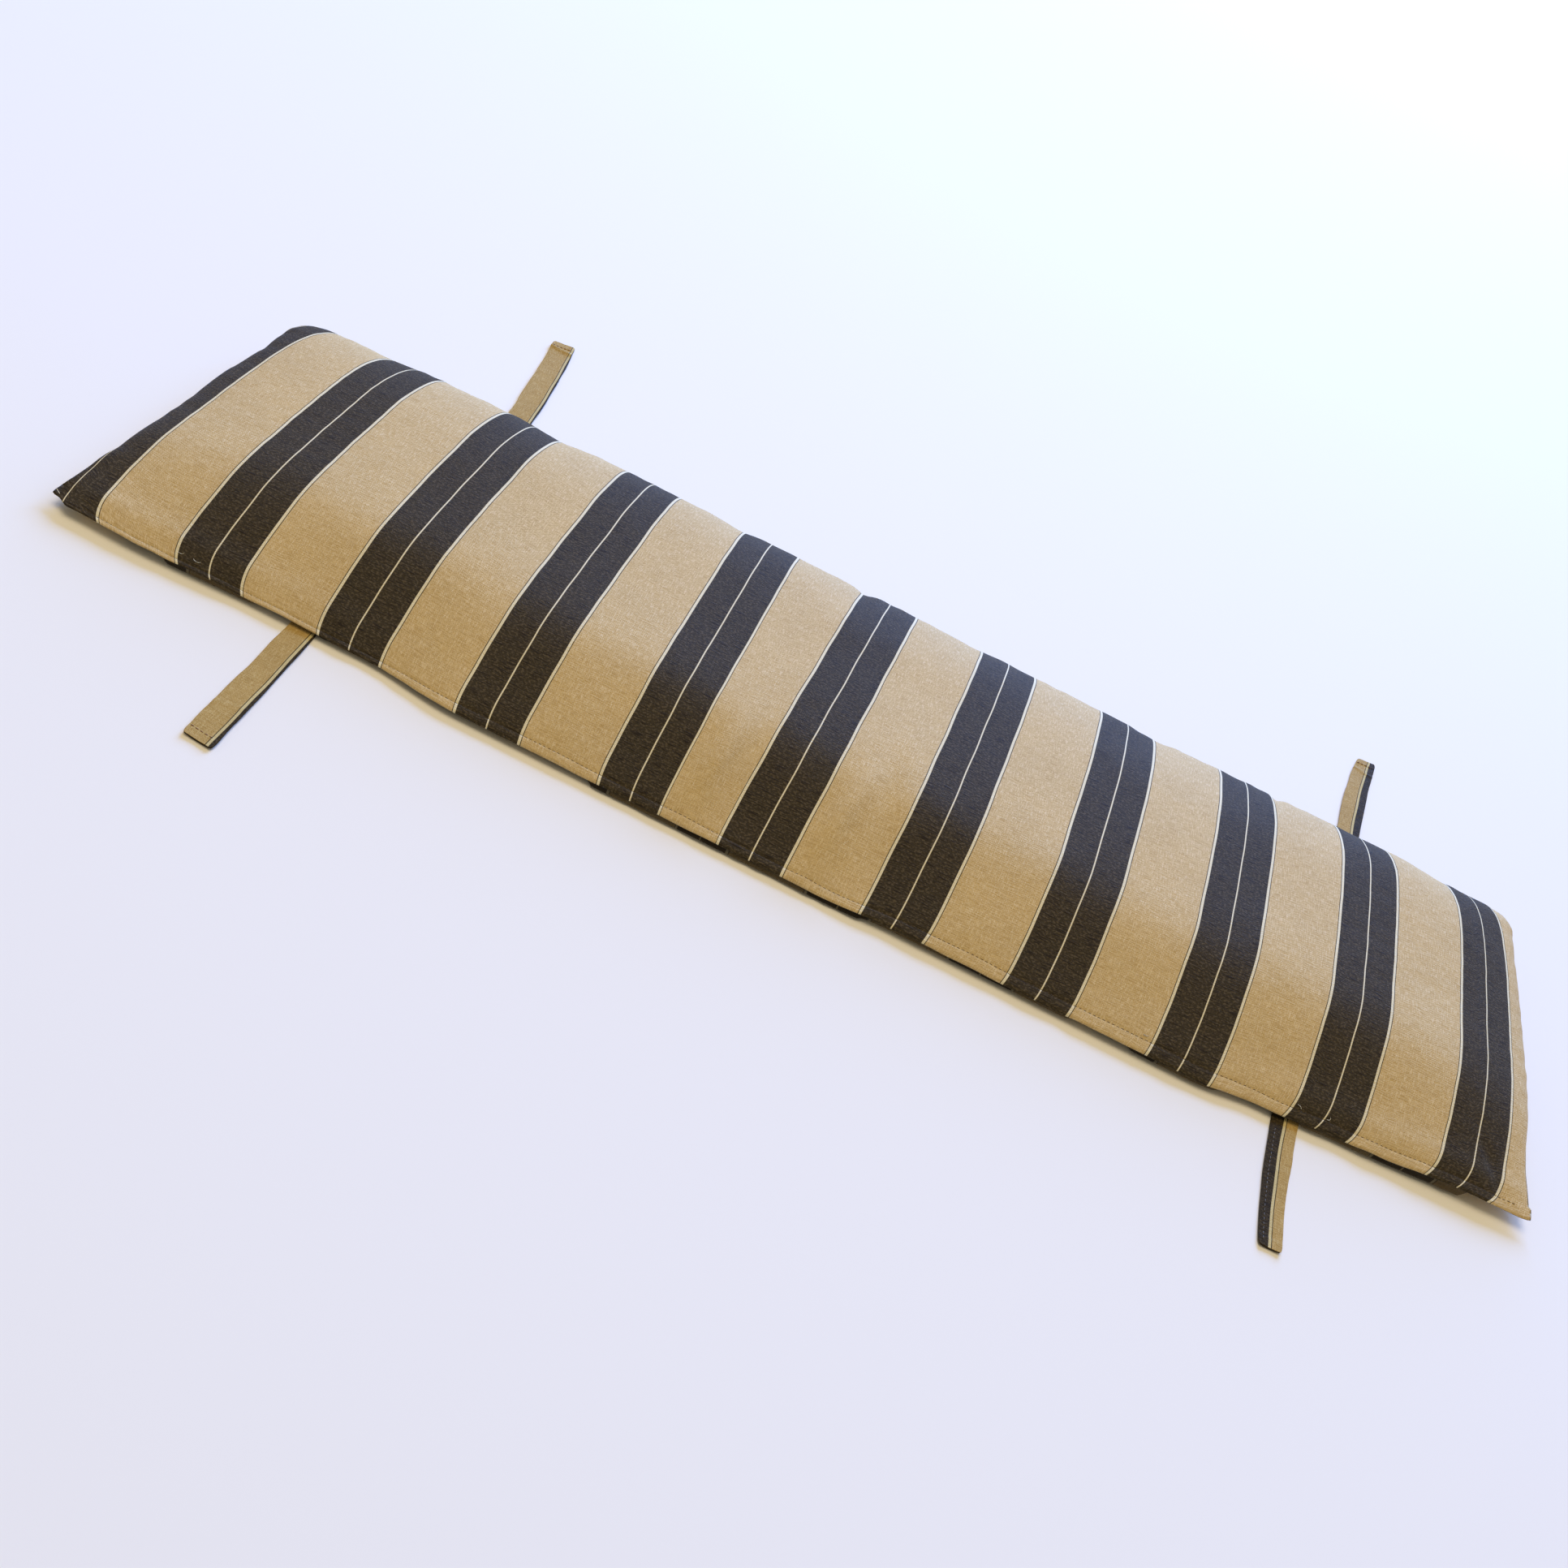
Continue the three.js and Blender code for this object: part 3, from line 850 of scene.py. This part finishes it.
def tie_surface(tie, along, side, top):
    """Points of a tie's skin at shares of its length, each with a row of places: side runs
    from -1 to 1 across it, and top from -1 on the lower face to 1 on the upper one. The skin
    is thicker at the turned-in end, has a bell-shaped groove beside each edge and a bell-shaped
    fold, and its edges roll up by the square of the way out."""
    route = tie_route(tie, along)
    across, up = line_frame(route)
    run, to_tip = tie_run(tie, along)
    seed = tie_seed(tie)
    middle = 0 * run
    tip = TIE_TIP_ROUND["depth"] * np.exp(-to_tip / TIE_TIP_ROUND["fade"])
    half = parabola(tie["widths"], along) / 2 + noise_height(run, middle, TIE_WAVER, seed) - tip
    drift = noise_height(run, middle, TIE_DRIFT, seed)
    aside = drift[:, None] + half[:, None] * side
    hem = smooth_step(TIE_HEM + 1, TIE_HEM - 1, to_tip)
    depth = TIE_THICKNESS / 2 * (0.84 + 0.22 * hem)
    to_edge = half[:, None] - np.abs(aside)
    groove = TIE_GROOVE["depth"] * bell(to_edge, TIE_GROOVE["inset"], TIE_GROOVE["width"]) * (top > 0)
    puff = noise_height(run[:, None], aside, TIE_PUFF, seed) * (top > 0)
    from_fold = to_tip[:, None] - tie["fold"]["at"] - TIE_FOLD["lean"] * aside
    fold = tie["fold"]["height"] * bell(from_fold, 0.0, TIE_FOLD["width"])
    roll = TIE_ROLL["height"] + noise_height(run, middle, TIE_ROLL, seed)
    roll = roll * smooth_step(0, TIE_ROLL_START, run)
    if tie["side"] == "near":
        outside = smooth_step(*OUT_FROM_PAD, run)
        fold, roll = fold * outside[:, None], roll * outside
    lift = depth[:, None] * (1 + top * (1 - groove)) + puff + fold
    lift = lift + roll[:, None] * side**2
    points = route[:, None] + aside[..., None] * across[:, None] + lift[..., None] * up[:, None]
    points[..., 1] += side * tie["skew"] / 2 * along[:, None]
    return points, aside, run


def make_tie(tie, material, steps=120, around=36):
    """A flat doubled strip: a rounded oblong section, powers of a cosine and a sine, carried
    along the tie's route, with the weave's places as its UV map."""
    along = 1 - (1 - np.linspace(0, 1, steps)) ** 1.25
    angle = np.linspace(0, 2 * math.pi, around, endpoint=False)
    side = np.sign(np.cos(angle)) * np.abs(np.cos(angle)) ** 0.45
    top = np.sign(np.sin(angle)) * np.abs(np.sin(angle)) ** 0.5
    points, aside, run = tie_surface(tie, along, side, top)
    index = np.arange(steps * around).reshape(steps, around)
    faces = tube_walls(index)
    if tie["side"] == "near":
        faces = faces[:, ::-1]
    dark_edge = DARK_WIDTH / 2 if tie["edge"] == "end" else -DARK_WIDTH / 2
    place = DARK_CENTRE + dark_edge + aside - tie["place"]
    uv = np.stack([place, np.broadcast_to(run[:, None], place.shape)], -1)
    loop_uv = uv.reshape(-1, 2)[faces.ravel()]
    piece = mesh_piece(tie["name"] + "_cloth", points.reshape(-1, 3), faces, material, loop_uv)
    turn_outwards(piece, (index[0], index[-1]))
    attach(piece, "root")
    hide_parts(tie["name"])


# Sewing

def stitch_places(line, ups):
    """Middles, directions and ups of stitches spaced evenly along a line of points."""
    arc = arc_length(line)
    first = STITCH_LENGTH / 2
    places = np.arange(first, arc[-1] - first, STITCH_LENGTH + STITCH_GAP)

    def at(values):
        return np.stack([np.interp(places, arc, values[:, axis]) for axis in range(3)], -1)

    directions = at(np.gradient(line, axis=0))
    directions /= np.linalg.norm(directions, axis=1, keepdims=True)
    return at(line), directions, at(ups)


def make_stitches(name, rows, material, seed):
    """Joined stitches: each one is a tube that thins by the fourth power of the way to its
    ends and sinks into the cloth there by the square, turned a little at random."""
    middles, ahead, ups = [np.vstack(parts) for parts in zip(*rows)]
    random = np.random.default_rng(SEED + seed)
    beside = np.cross(ups, ahead)
    ahead = ahead + beside * random.normal(0, STITCH_TURN, (len(ahead), 1))
    stretch = random.uniform(0.85, 1.1, (len(ahead), 1, 1, 1)) * STITCH_LENGTH / 2
    ahead, beside, ups = (way[:, None, None, :] for way in (ahead, beside, ups))
    rings = 5
    t = np.linspace(-1, 1, rings)[None, :, None, None]
    angle = np.linspace(0, 2 * math.pi, THREAD_SIDES, endpoint=False)[None, None, :, None]
    radius = THREAD / 2 * (1 - 0.85 * t**4)
    body = stretch * t * ahead + radius * (np.cos(angle) * beside + np.sin(angle) * ups)
    body = body - 0.30 * THREAD * t**2 * ups
    points = (middles[:, None, None, :] + body).reshape(-1, 3)
    offsets = np.arange(len(middles))[:, None, None] * rings * THREAD_SIDES
    faces = (thread_faces(rings)[None] + offsets).reshape(-1, 4)
    piece = mesh_piece(name, points, faces, material)
    turn_outwards(piece)
    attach(piece, "root")


def loose_thread(surface, bit, steps):
    """Points of a short end of thread that curls on the cloth by the hem: a tube along an arc
    of a circle whose ends lift off the cloth by the fourth power of the way to them."""
    hem = surface[STITCH_ROW]
    column = int(np.argmin(np.abs(hem[:, 0] - bit["x"])))
    from_stitch = surface[:, column, 1] - hem[column, 1]
    row = int(np.argmin(np.abs(from_stitch - bit["from_stitch"])))
    seat = surface[row, column]
    across = surface[row + 1, column] - surface[row - 1, column]
    across /= np.linalg.norm(across)
    along = np.array([1.0, 0.0, 0.0])
    up = np.cross(along, across)
    s = np.linspace(-1, 1, steps)
    heading = bit["turn"] + 1.1 * s
    path_x = np.cumsum(np.cos(heading)) * bit["length"] / steps
    path_y = np.cumsum(np.sin(heading)) * bit["length"] / steps * 0.6
    lift = 0.35 * THREAD + 0.8 * s**4
    line = seat + path_x[:, None] * along + path_y[:, None] * across + lift[:, None] * up
    beside, above = line_frame(line)
    angle = np.linspace(0, 2 * math.pi, THREAD_SIDES, endpoint=False)[None, :, None]
    radius = 0.42 * THREAD * (1 - 0.6 * s**8)
    ring = np.cos(angle) * beside[:, None] + np.sin(angle) * above[:, None]
    return (line[:, None] + radius[:, None, None] * ring).reshape(-1, 3)


def make_loose_threads(surface, material):
    """The short ends of thread by the hem, as one piece."""
    steps = 12
    points = [loose_thread(surface, bit, steps) for bit in LOOSE_THREADS]
    offsets = np.arange(len(points))[:, None, None] * steps * THREAD_SIDES
    faces = (thread_faces(steps)[None] + offsets).reshape(-1, 4)
    piece = mesh_piece("loose_thread_ends", np.vstack(points), faces, material)
    turn_outwards(piece)
    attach(piece, "root")


def sew_hem(surface, material):
    """The row of top stitches along the hem."""
    across = surface[STITCH_ROW + 1] - surface[STITCH_ROW - 1]
    along = np.gradient(surface[STITCH_ROW], axis=0)
    up = np.cross(along, across)
    up /= np.linalg.norm(up, axis=1, keepdims=True)
    kept = np.abs(surface[STITCH_ROW, :, 0]) < LIP_FADE["end"]
    line = surface[STITCH_ROW] + 0.12 * up
    make_stitches("hem_stitches", [stitch_places(line[kept], up[kept])], material, seed=31)


def tie_stitches(tie, along, side):
    """Stitches along a line on a tie's upper face, given as shares of its length and width."""
    points, _, _ = tie_surface(tie, along, side[None], np.ones((1, 1)))
    line = np.einsum("iij->ij", points)
    ups = np.broadcast_to((0, 0, 1.0), line.shape)
    return stitch_places(line + 0.25 * ups, ups)


def sew_ties(tip_thread, side_thread):
    """A row of stitches across each turned-in tip, but for the near right tie, which has one
    along its dark edge."""
    across_tip, along_dark = [], []
    for tie in TIES:
        if tie["name"] == "strap_near_right":
            along = np.linspace(0.28, 0.97, SIDE_STITCHES)
            along_dark.append(tie_stitches(tie, along, np.full(SIDE_STITCHES, -0.62)))
        else:
            _, length = tie_run(tie, 0.0)
            side = np.linspace(-0.9, 0.9, TIP_STITCHES)
            across_tip.append(tie_stitches(tie, 1 - TIE_HEM / length + 0.002 * side, side))
    make_stitches("tie_tip_stitches", across_tip, tip_thread, seed=33)
    make_stitches("tie_side_stitches", along_dark, side_thread, seed=35)


# Materials

def add_node(tree, kind, inputs=None, **settings):
    """A shader node with its settings, its inputs set to values or linked to sockets."""
    node = tree.nodes.new(kind)
    for key, value in settings.items():
        setattr(node, key, value)
    for key, value in (inputs or {}).items():
        if isinstance(value, bpy.types.NodeSocket):
            tree.links.new(value, node.inputs[key])
        else:
            node.inputs[key].default_value = value
    return node


def calculate(tree, operation, a, b=0.0, c=0.0):
    """One step of arithmetic between sockets or numbers."""
    return add_node(tree, "ShaderNodeMath", {0: a, 1: b, 2: c}, operation=operation).outputs[0]


def ramp(tree, value, start, end):
    """0 at start and 1 at end, with a smooth step between them."""
    inputs = {"Value": value, "From Min": start, "From Max": end}
    node = add_node(tree, "ShaderNodeMapRange", inputs, interpolation_type="SMOOTHSTEP")
    return node.outputs["Result"]


def blend_colors(tree, share, first, second, how="MIX"):
    """Two colours mixed by a share. The numbers are the colour sockets of a Mix node."""
    node = add_node(tree, "ShaderNodeMix", None, data_type="RGBA", blend_type=how)
    for number, value in {0: share, 6: first, 7: second}.items():
        if isinstance(value, bpy.types.NodeSocket):
            tree.links.new(value, node.inputs[number])
        else:
            node.inputs[number].default_value = value
    return node.outputs[2]


def noise(tree, x, y, grain_x, grain_y, detail, offset=0.0):
    """Noise from 0 to 1 whose grains are grain_x by grain_y millimetres."""
    place = add_node(tree, "ShaderNodeCombineXYZ", {
        "X": calculate(tree, "DIVIDE", x, grain_x),
        "Y": calculate(tree, "DIVIDE", y, grain_y),
        "Z": offset,
    }).outputs[0]
    inputs = {"Vector": place, "Scale": 1.0, "Detail": detail}
    return add_node(tree, "ShaderNodeTexNoise", inputs).outputs["Fac"]


def srgb(red, green, blue):
    """A colour given as 0 to 255 in sRGB, as the linear values of a socket."""
    values = np.array([red, green, blue]) / 255.0
    linear = np.where(values <= 0.04045, values / 12.92, ((values + 0.055) / 1.055) ** 2.4)
    return (*linear.tolist(), 1.0)


# Colours of the yarns, the threads and the floor, and of painted shade
PALE = srgb(200, 174, 125)
PALE_DEEP = srgb(182, 154, 104)
PALE_LIGHT = srgb(211, 188, 145)
CREAM = srgb(220, 209, 176)
DARK = srgb(59, 51, 36)
DARK_LIGHT = srgb(85, 74, 56)
DARK_DEEP = srgb(41, 34, 26)
# Painted shade: the dark brown that the under panel's hem is mixed towards, standing for the shade
# under the lip
PAINTED_HEM_SHADE = srgb(40, 33, 24)
THREAD_BROWN = srgb(64, 48, 30)
THREAD_PALE = srgb(208, 200, 176)
THREAD_RED_BROWN = srgb(112, 62, 44)
THREAD_GREY = srgb(112, 108, 104)
FLOOR_COLOR = srgb(232, 227, 217)
PAD_TINT = (1.0, 1.0, 1.0, 1.0)
# Painted shade: the ties' copy of the cover's cloth is made darker and warmer, standing for the shade
# they lie in rather than the cool light on the cover
TIE_PAINTED_SHADE = (0.74, 0.67, 0.453, 1.0)


def new_material(name):
    """A material without nodes, and its tree."""
    material = bpy.data.materials.new(name)
    material.use_nodes = True
    material.node_tree.nodes.clear()
    return material, material.node_tree


def band_masks(tree, x, y):
    """Where each band lies, by the distance from the middle of the nearest dark band, which
    wavers from yarn to yarn by noise: inside the dark band, past the cream border, past the
    hairline beyond it, and on the cream line in the middle. Each mask goes from 0 to 1 in a
    soft step."""
    jitter = noise(tree, x, y, 40.0, YARN_PITCH, detail=1.0)
    wander = noise(tree, x, y, 300.0, 35.0, detail=0.0, offset=3.0)
    moved = calculate(tree, "MULTIPLY_ADD", jitter, 0.16, calculate(tree, "ADD", x, -0.08))
    moved = calculate(tree, "MULTIPLY_ADD", wander, 1.2, calculate(tree, "ADD", moved, -0.6))
    from_centre = calculate(tree, "SUBTRACT", moved, DARK_CENTRE)
    distance = calculate(tree, "PINGPONG", from_centre, STRIPE_PITCH / 2)

    def past(place):
        return ramp(tree, distance, place - BAND_SOFTNESS, place + BAND_SOFTNESS)

    dark_end = DARK_WIDTH / 2
    border_end = dark_end + BORDER_WIDTH
    is_dark = calculate(tree, "SUBTRACT", 1.0, past(dark_end))
    is_line = calculate(tree, "SUBTRACT", 1.0, past(MIDLINE_WIDTH / 2))
    return is_dark, past(border_end), past(border_end + HAIRLINE_WIDTH), is_line


def weave_color(tree, masks, slubs, patch):
    """The bands' colours, each mixed from two or three yarns by the slubs and flecks, and
    made lighter or darker in wide patches."""
    is_dark, not_border, not_hair, is_line = masks
    weft_slub, warp_slub, fleck = slubs
    pale = blend_colors(tree, ramp(tree, weft_slub, 0.42, 0.66), PALE, PALE_DEEP)
    pale = blend_colors(tree, ramp(tree, warp_slub, 0.46, 0.68), pale, PALE_LIGHT)
    deep_fleck = calculate(tree, "MULTIPLY", ramp(tree, fleck, 0.46, 0.66), 0.5)
    pale = blend_colors(tree, deep_fleck, pale, PALE_DEEP)
    dark = blend_colors(tree, ramp(tree, fleck, 0.46, 0.64), DARK, DARK_LIGHT)
    dark = blend_colors(tree, ramp(tree, weft_slub, 0.5, 0.68), dark, DARK_DEEP)
    pale_fleck = calculate(tree, "MULTIPLY", ramp(tree, fleck, 0.45, 0.8), 0.4)
    cream = blend_colors(tree, pale_fleck, CREAM, PALE)

    color = blend_colors(tree, not_hair, DARK, pale)
    color = blend_colors(tree, not_border, cream, color)
    color = blend_colors(tree, is_dark, color, dark)
    color = blend_colors(tree, is_line, color, cream)
    tone = calculate(tree, "MULTIPLY_ADD", patch, 0.14, 0.93)
    toned = add_node(tree, "ShaderNodeCombineColor", {"Red": tone, "Green": tone, "Blue": tone})
    return blend_colors(tree, 1.0, color, toned.outputs[0], "MULTIPLY")


def weave_relief(tree, x, y, masks, slubs):
    """The yarns' relief: the product of two cosines at their pitch, thicker where noise makes
    a slub or a fleck, and raised along the cream border."""
    is_dark, not_border, _, _ = masks
    weft_slub, warp_slub, fleck = slubs
    warp = calculate(tree, "COSINE", calculate(tree, "MULTIPLY", x, math.pi / YARN_PITCH))
    weft = calculate(tree, "COSINE", calculate(tree, "MULTIPLY", y, math.pi / YARN_PITCH))
    weave = calculate(tree, "MULTIPLY", warp, weft)
    cord = calculate(tree, "SUBTRACT", not_border, is_dark)
    height = calculate(tree, "MULTIPLY", weft_slub, 0.9)
    for relief, share in ((weave, 0.10), (warp_slub, 0.7), (fleck, 0.6), (cord, 0.10)):
        height = calculate(tree, "MULTIPLY_ADD", relief, share, height)
    bump = {"Height": height, "Strength": 0.9, "Distance": 0.5 * MM}
    return add_node(tree, "ShaderNodeBump", bump).outputs[0]


def striped_weave(name, tint, shade_attribute=None):
    """Woven stripes: dark bands with a cream line in the middle, edged by cream cords and
    dark hairlines, on a slubby pale ground. It reads the UV map, whose X runs across the
    stripes and whose Y runs along them, in metres."""
    material, tree = new_material(name)
    uv = add_node(tree, "ShaderNodeUVMap", uv_map="cloth").outputs[0]
    parts = add_node(tree, "ShaderNodeSeparateXYZ", {"Vector": uv})
    x = calculate(tree, "MULTIPLY", parts.outputs["X"], 1 / MM)
    y = calculate(tree, "MULTIPLY", parts.outputs["Y"], 1 / MM)
    masks = band_masks(tree, x, y)
    slubs = (
        noise(tree, x, y, 12.0, 0.9, detail=2.0, offset=1.0),
        noise(tree, x, y, 0.9, 7.0, detail=2.0, offset=5.0),
        noise(tree, x, y, 2.2, 1.6, detail=3.0, offset=9.0),
    )
    patch = noise(tree, x, y, 60.0, 45.0, detail=2.0, offset=13.0)
    color = weave_color(tree, masks, slubs, patch)
    # The tint multiplies the colour; for the ties it is painted shade, darker and warmer than the
    # cover's cloth
    color = blend_colors(tree, 1.0, color, tint, "MULTIPLY")
    # Painted shade: where the attribute marks the under panel's hem, the colour is mixed towards a dark
    # brown for the shade under the lip
    if shade_attribute:
        shade = add_node(tree, "ShaderNodeAttribute", attribute_name=shade_attribute).outputs["Fac"]
        color = blend_colors(tree, calculate(tree, "MULTIPLY", shade, 0.85), color, PAINTED_HEM_SHADE)
    shader = add_node(tree, "ShaderNodeBsdfPrincipled", {
        "Base Color": color,
        "Normal": weave_relief(tree, x, y, masks, slubs),
        "Roughness": 0.62,
        "Specular IOR Level": 0.03,
        "Sheen Weight": 0.08,
        "Sheen Roughness": 0.5,
        "Sheen Tint": (0.8, 0.88, 1.0, 1.0),
    })
    add_node(tree, "ShaderNodeOutputMaterial", {"Surface": shader.outputs[0]})
    return material


def twisted_thread(name, color):
    """Sewing thread: a plain colour with the fine slanting ribs of its twist."""
    material, tree = new_material(name)
    place = add_node(tree, "ShaderNodeTexCoord").outputs["Object"]
    ribs = {"Vector": place, "Scale": 900.0}
    twist = add_node(tree, "ShaderNodeTexWave", ribs, bands_direction="DIAGONAL").outputs["Fac"]
    tint = blend_colors(tree, calculate(tree, "MULTIPLY", twist, 0.35), color, DARK_DEEP)
    bump = add_node(tree, "ShaderNodeBump", {"Height": twist, "Strength": 0.5, "Distance": 0.08 * MM})
    shader = add_node(tree, "ShaderNodeBsdfPrincipled", {
        "Base Color": tint,
        "Normal": bump.outputs[0],
        "Roughness": 0.6,
        "Specular IOR Level": 0.4,
    })
    add_node(tree, "ShaderNodeOutputMaterial", {"Surface": shader.outputs[0]})
    return material


# Light, floor and camera

def make_floor():
    """A wide pale sheet under the object."""
    mesh = bpy.data.meshes.new("floor")
    corners = [(-1, -1), (1, -1), (1, 1), (-1, 1)]
    points = [(x * FLOOR_REACH, y * FLOOR_REACH, FLOOR_HEIGHT) for x, y in corners]
    mesh.from_pydata(points, [], [(0, 1, 2, 3)])
    floor = bpy.data.objects.new("floor", mesh)
    bpy.context.scene.collection.objects.link(floor)
    material = bpy.data.materials.new("pale_floor")
    material.use_nodes = True
    shader = material.node_tree.nodes["Principled BSDF"]
    shader.inputs["Base Color"].default_value = FLOOR_COLOR
    shader.inputs["Roughness"].default_value = 0.9
    shader.inputs["Specular IOR Level"].default_value = 0.1
    mesh.materials.append(material)


def make_light(name, place, size, power, color):
    """A square area light at place, turned to the middle of the object."""
    light = bpy.data.lights.new(name, "AREA")
    light.shape = "SQUARE"
    light.size = size
    light.energy = power
    light.color = color
    lamp = bpy.data.objects.new(name, light)
    lamp.location = place
    lamp.rotation_euler = (-Vector(place)).to_track_quat("-Z", "Y").to_euler()
    bpy.context.scene.collection.objects.link(lamp)


def make_room_light():
    """An even light from all round."""
    world = bpy.data.worlds.new("room_light")
    world.use_nodes = True
    background = world.node_tree.nodes["Background"]
    background.inputs["Color"].default_value = ROOM_COLOR
    background.inputs["Strength"].default_value = ROOM_STRENGTH
    bpy.context.scene.world = world


def make_camera():
    """The photograph's camera: its place, and its turn from yaw, downward pitch and roll."""
    yaw, pitch, roll = (math.radians(CAMERA_TURN[name]) for name in ("yaw", "pitch", "roll"))
    ahead = Vector((math.sin(yaw) * math.cos(pitch), math.cos(yaw) * math.cos(pitch), -math.sin(pitch)))
    level = Vector((math.cos(yaw), -math.sin(yaw), 0))
    above = level.cross(ahead)
    right = math.cos(roll) * level + math.sin(roll) * above
    up = math.cos(roll) * above - math.sin(roll) * level
    camera = bpy.data.cameras.new("camera")
    camera.sensor_width = SENSOR_WIDTH
    camera.lens = SENSOR_WIDTH * FOCAL_PIXELS / PHOTO_PIXELS
    camera.clip_start = 0.01
    holder = bpy.data.objects.new("camera", camera)
    turn = Matrix((right, up, -ahead)).transposed().to_4x4()
    holder.matrix_world = Matrix.Translation(Vector(CAMERA_PLACE)) @ turn
    bpy.context.scene.collection.objects.link(holder)
    bpy.context.scene.camera = holder


def main():
    """Sets the stage, then makes the cover, the ties and their sewing."""
    bpy.context.scene.view_settings.view_transform = "Standard"
    make_camera()
    make_floor()
    make_room_light()
    for light in LIGHTS:
        make_light(**light)
    top = make_cover(striped_weave("striped_cloth", PAD_TINT, "hem_shade"))
    # Painted shade: the ties get a darker, warmer copy of the cover's cloth
    tie_cloth = striped_weave("tie_cloth", TIE_PAINTED_SHADE)
    for tie in TIES:
        make_tie(tie, tie_cloth)
    brown = twisted_thread("brown_thread", THREAD_BROWN)
    pale = twisted_thread("pale_thread", THREAD_PALE)
    red_brown = twisted_thread("red_brown_thread", THREAD_RED_BROWN)
    grey = twisted_thread("grey_thread", THREAD_GREY)
    sew_hem(top, brown)
    make_loose_threads(top, pale)
    sew_ties(red_brown, grey)


main()
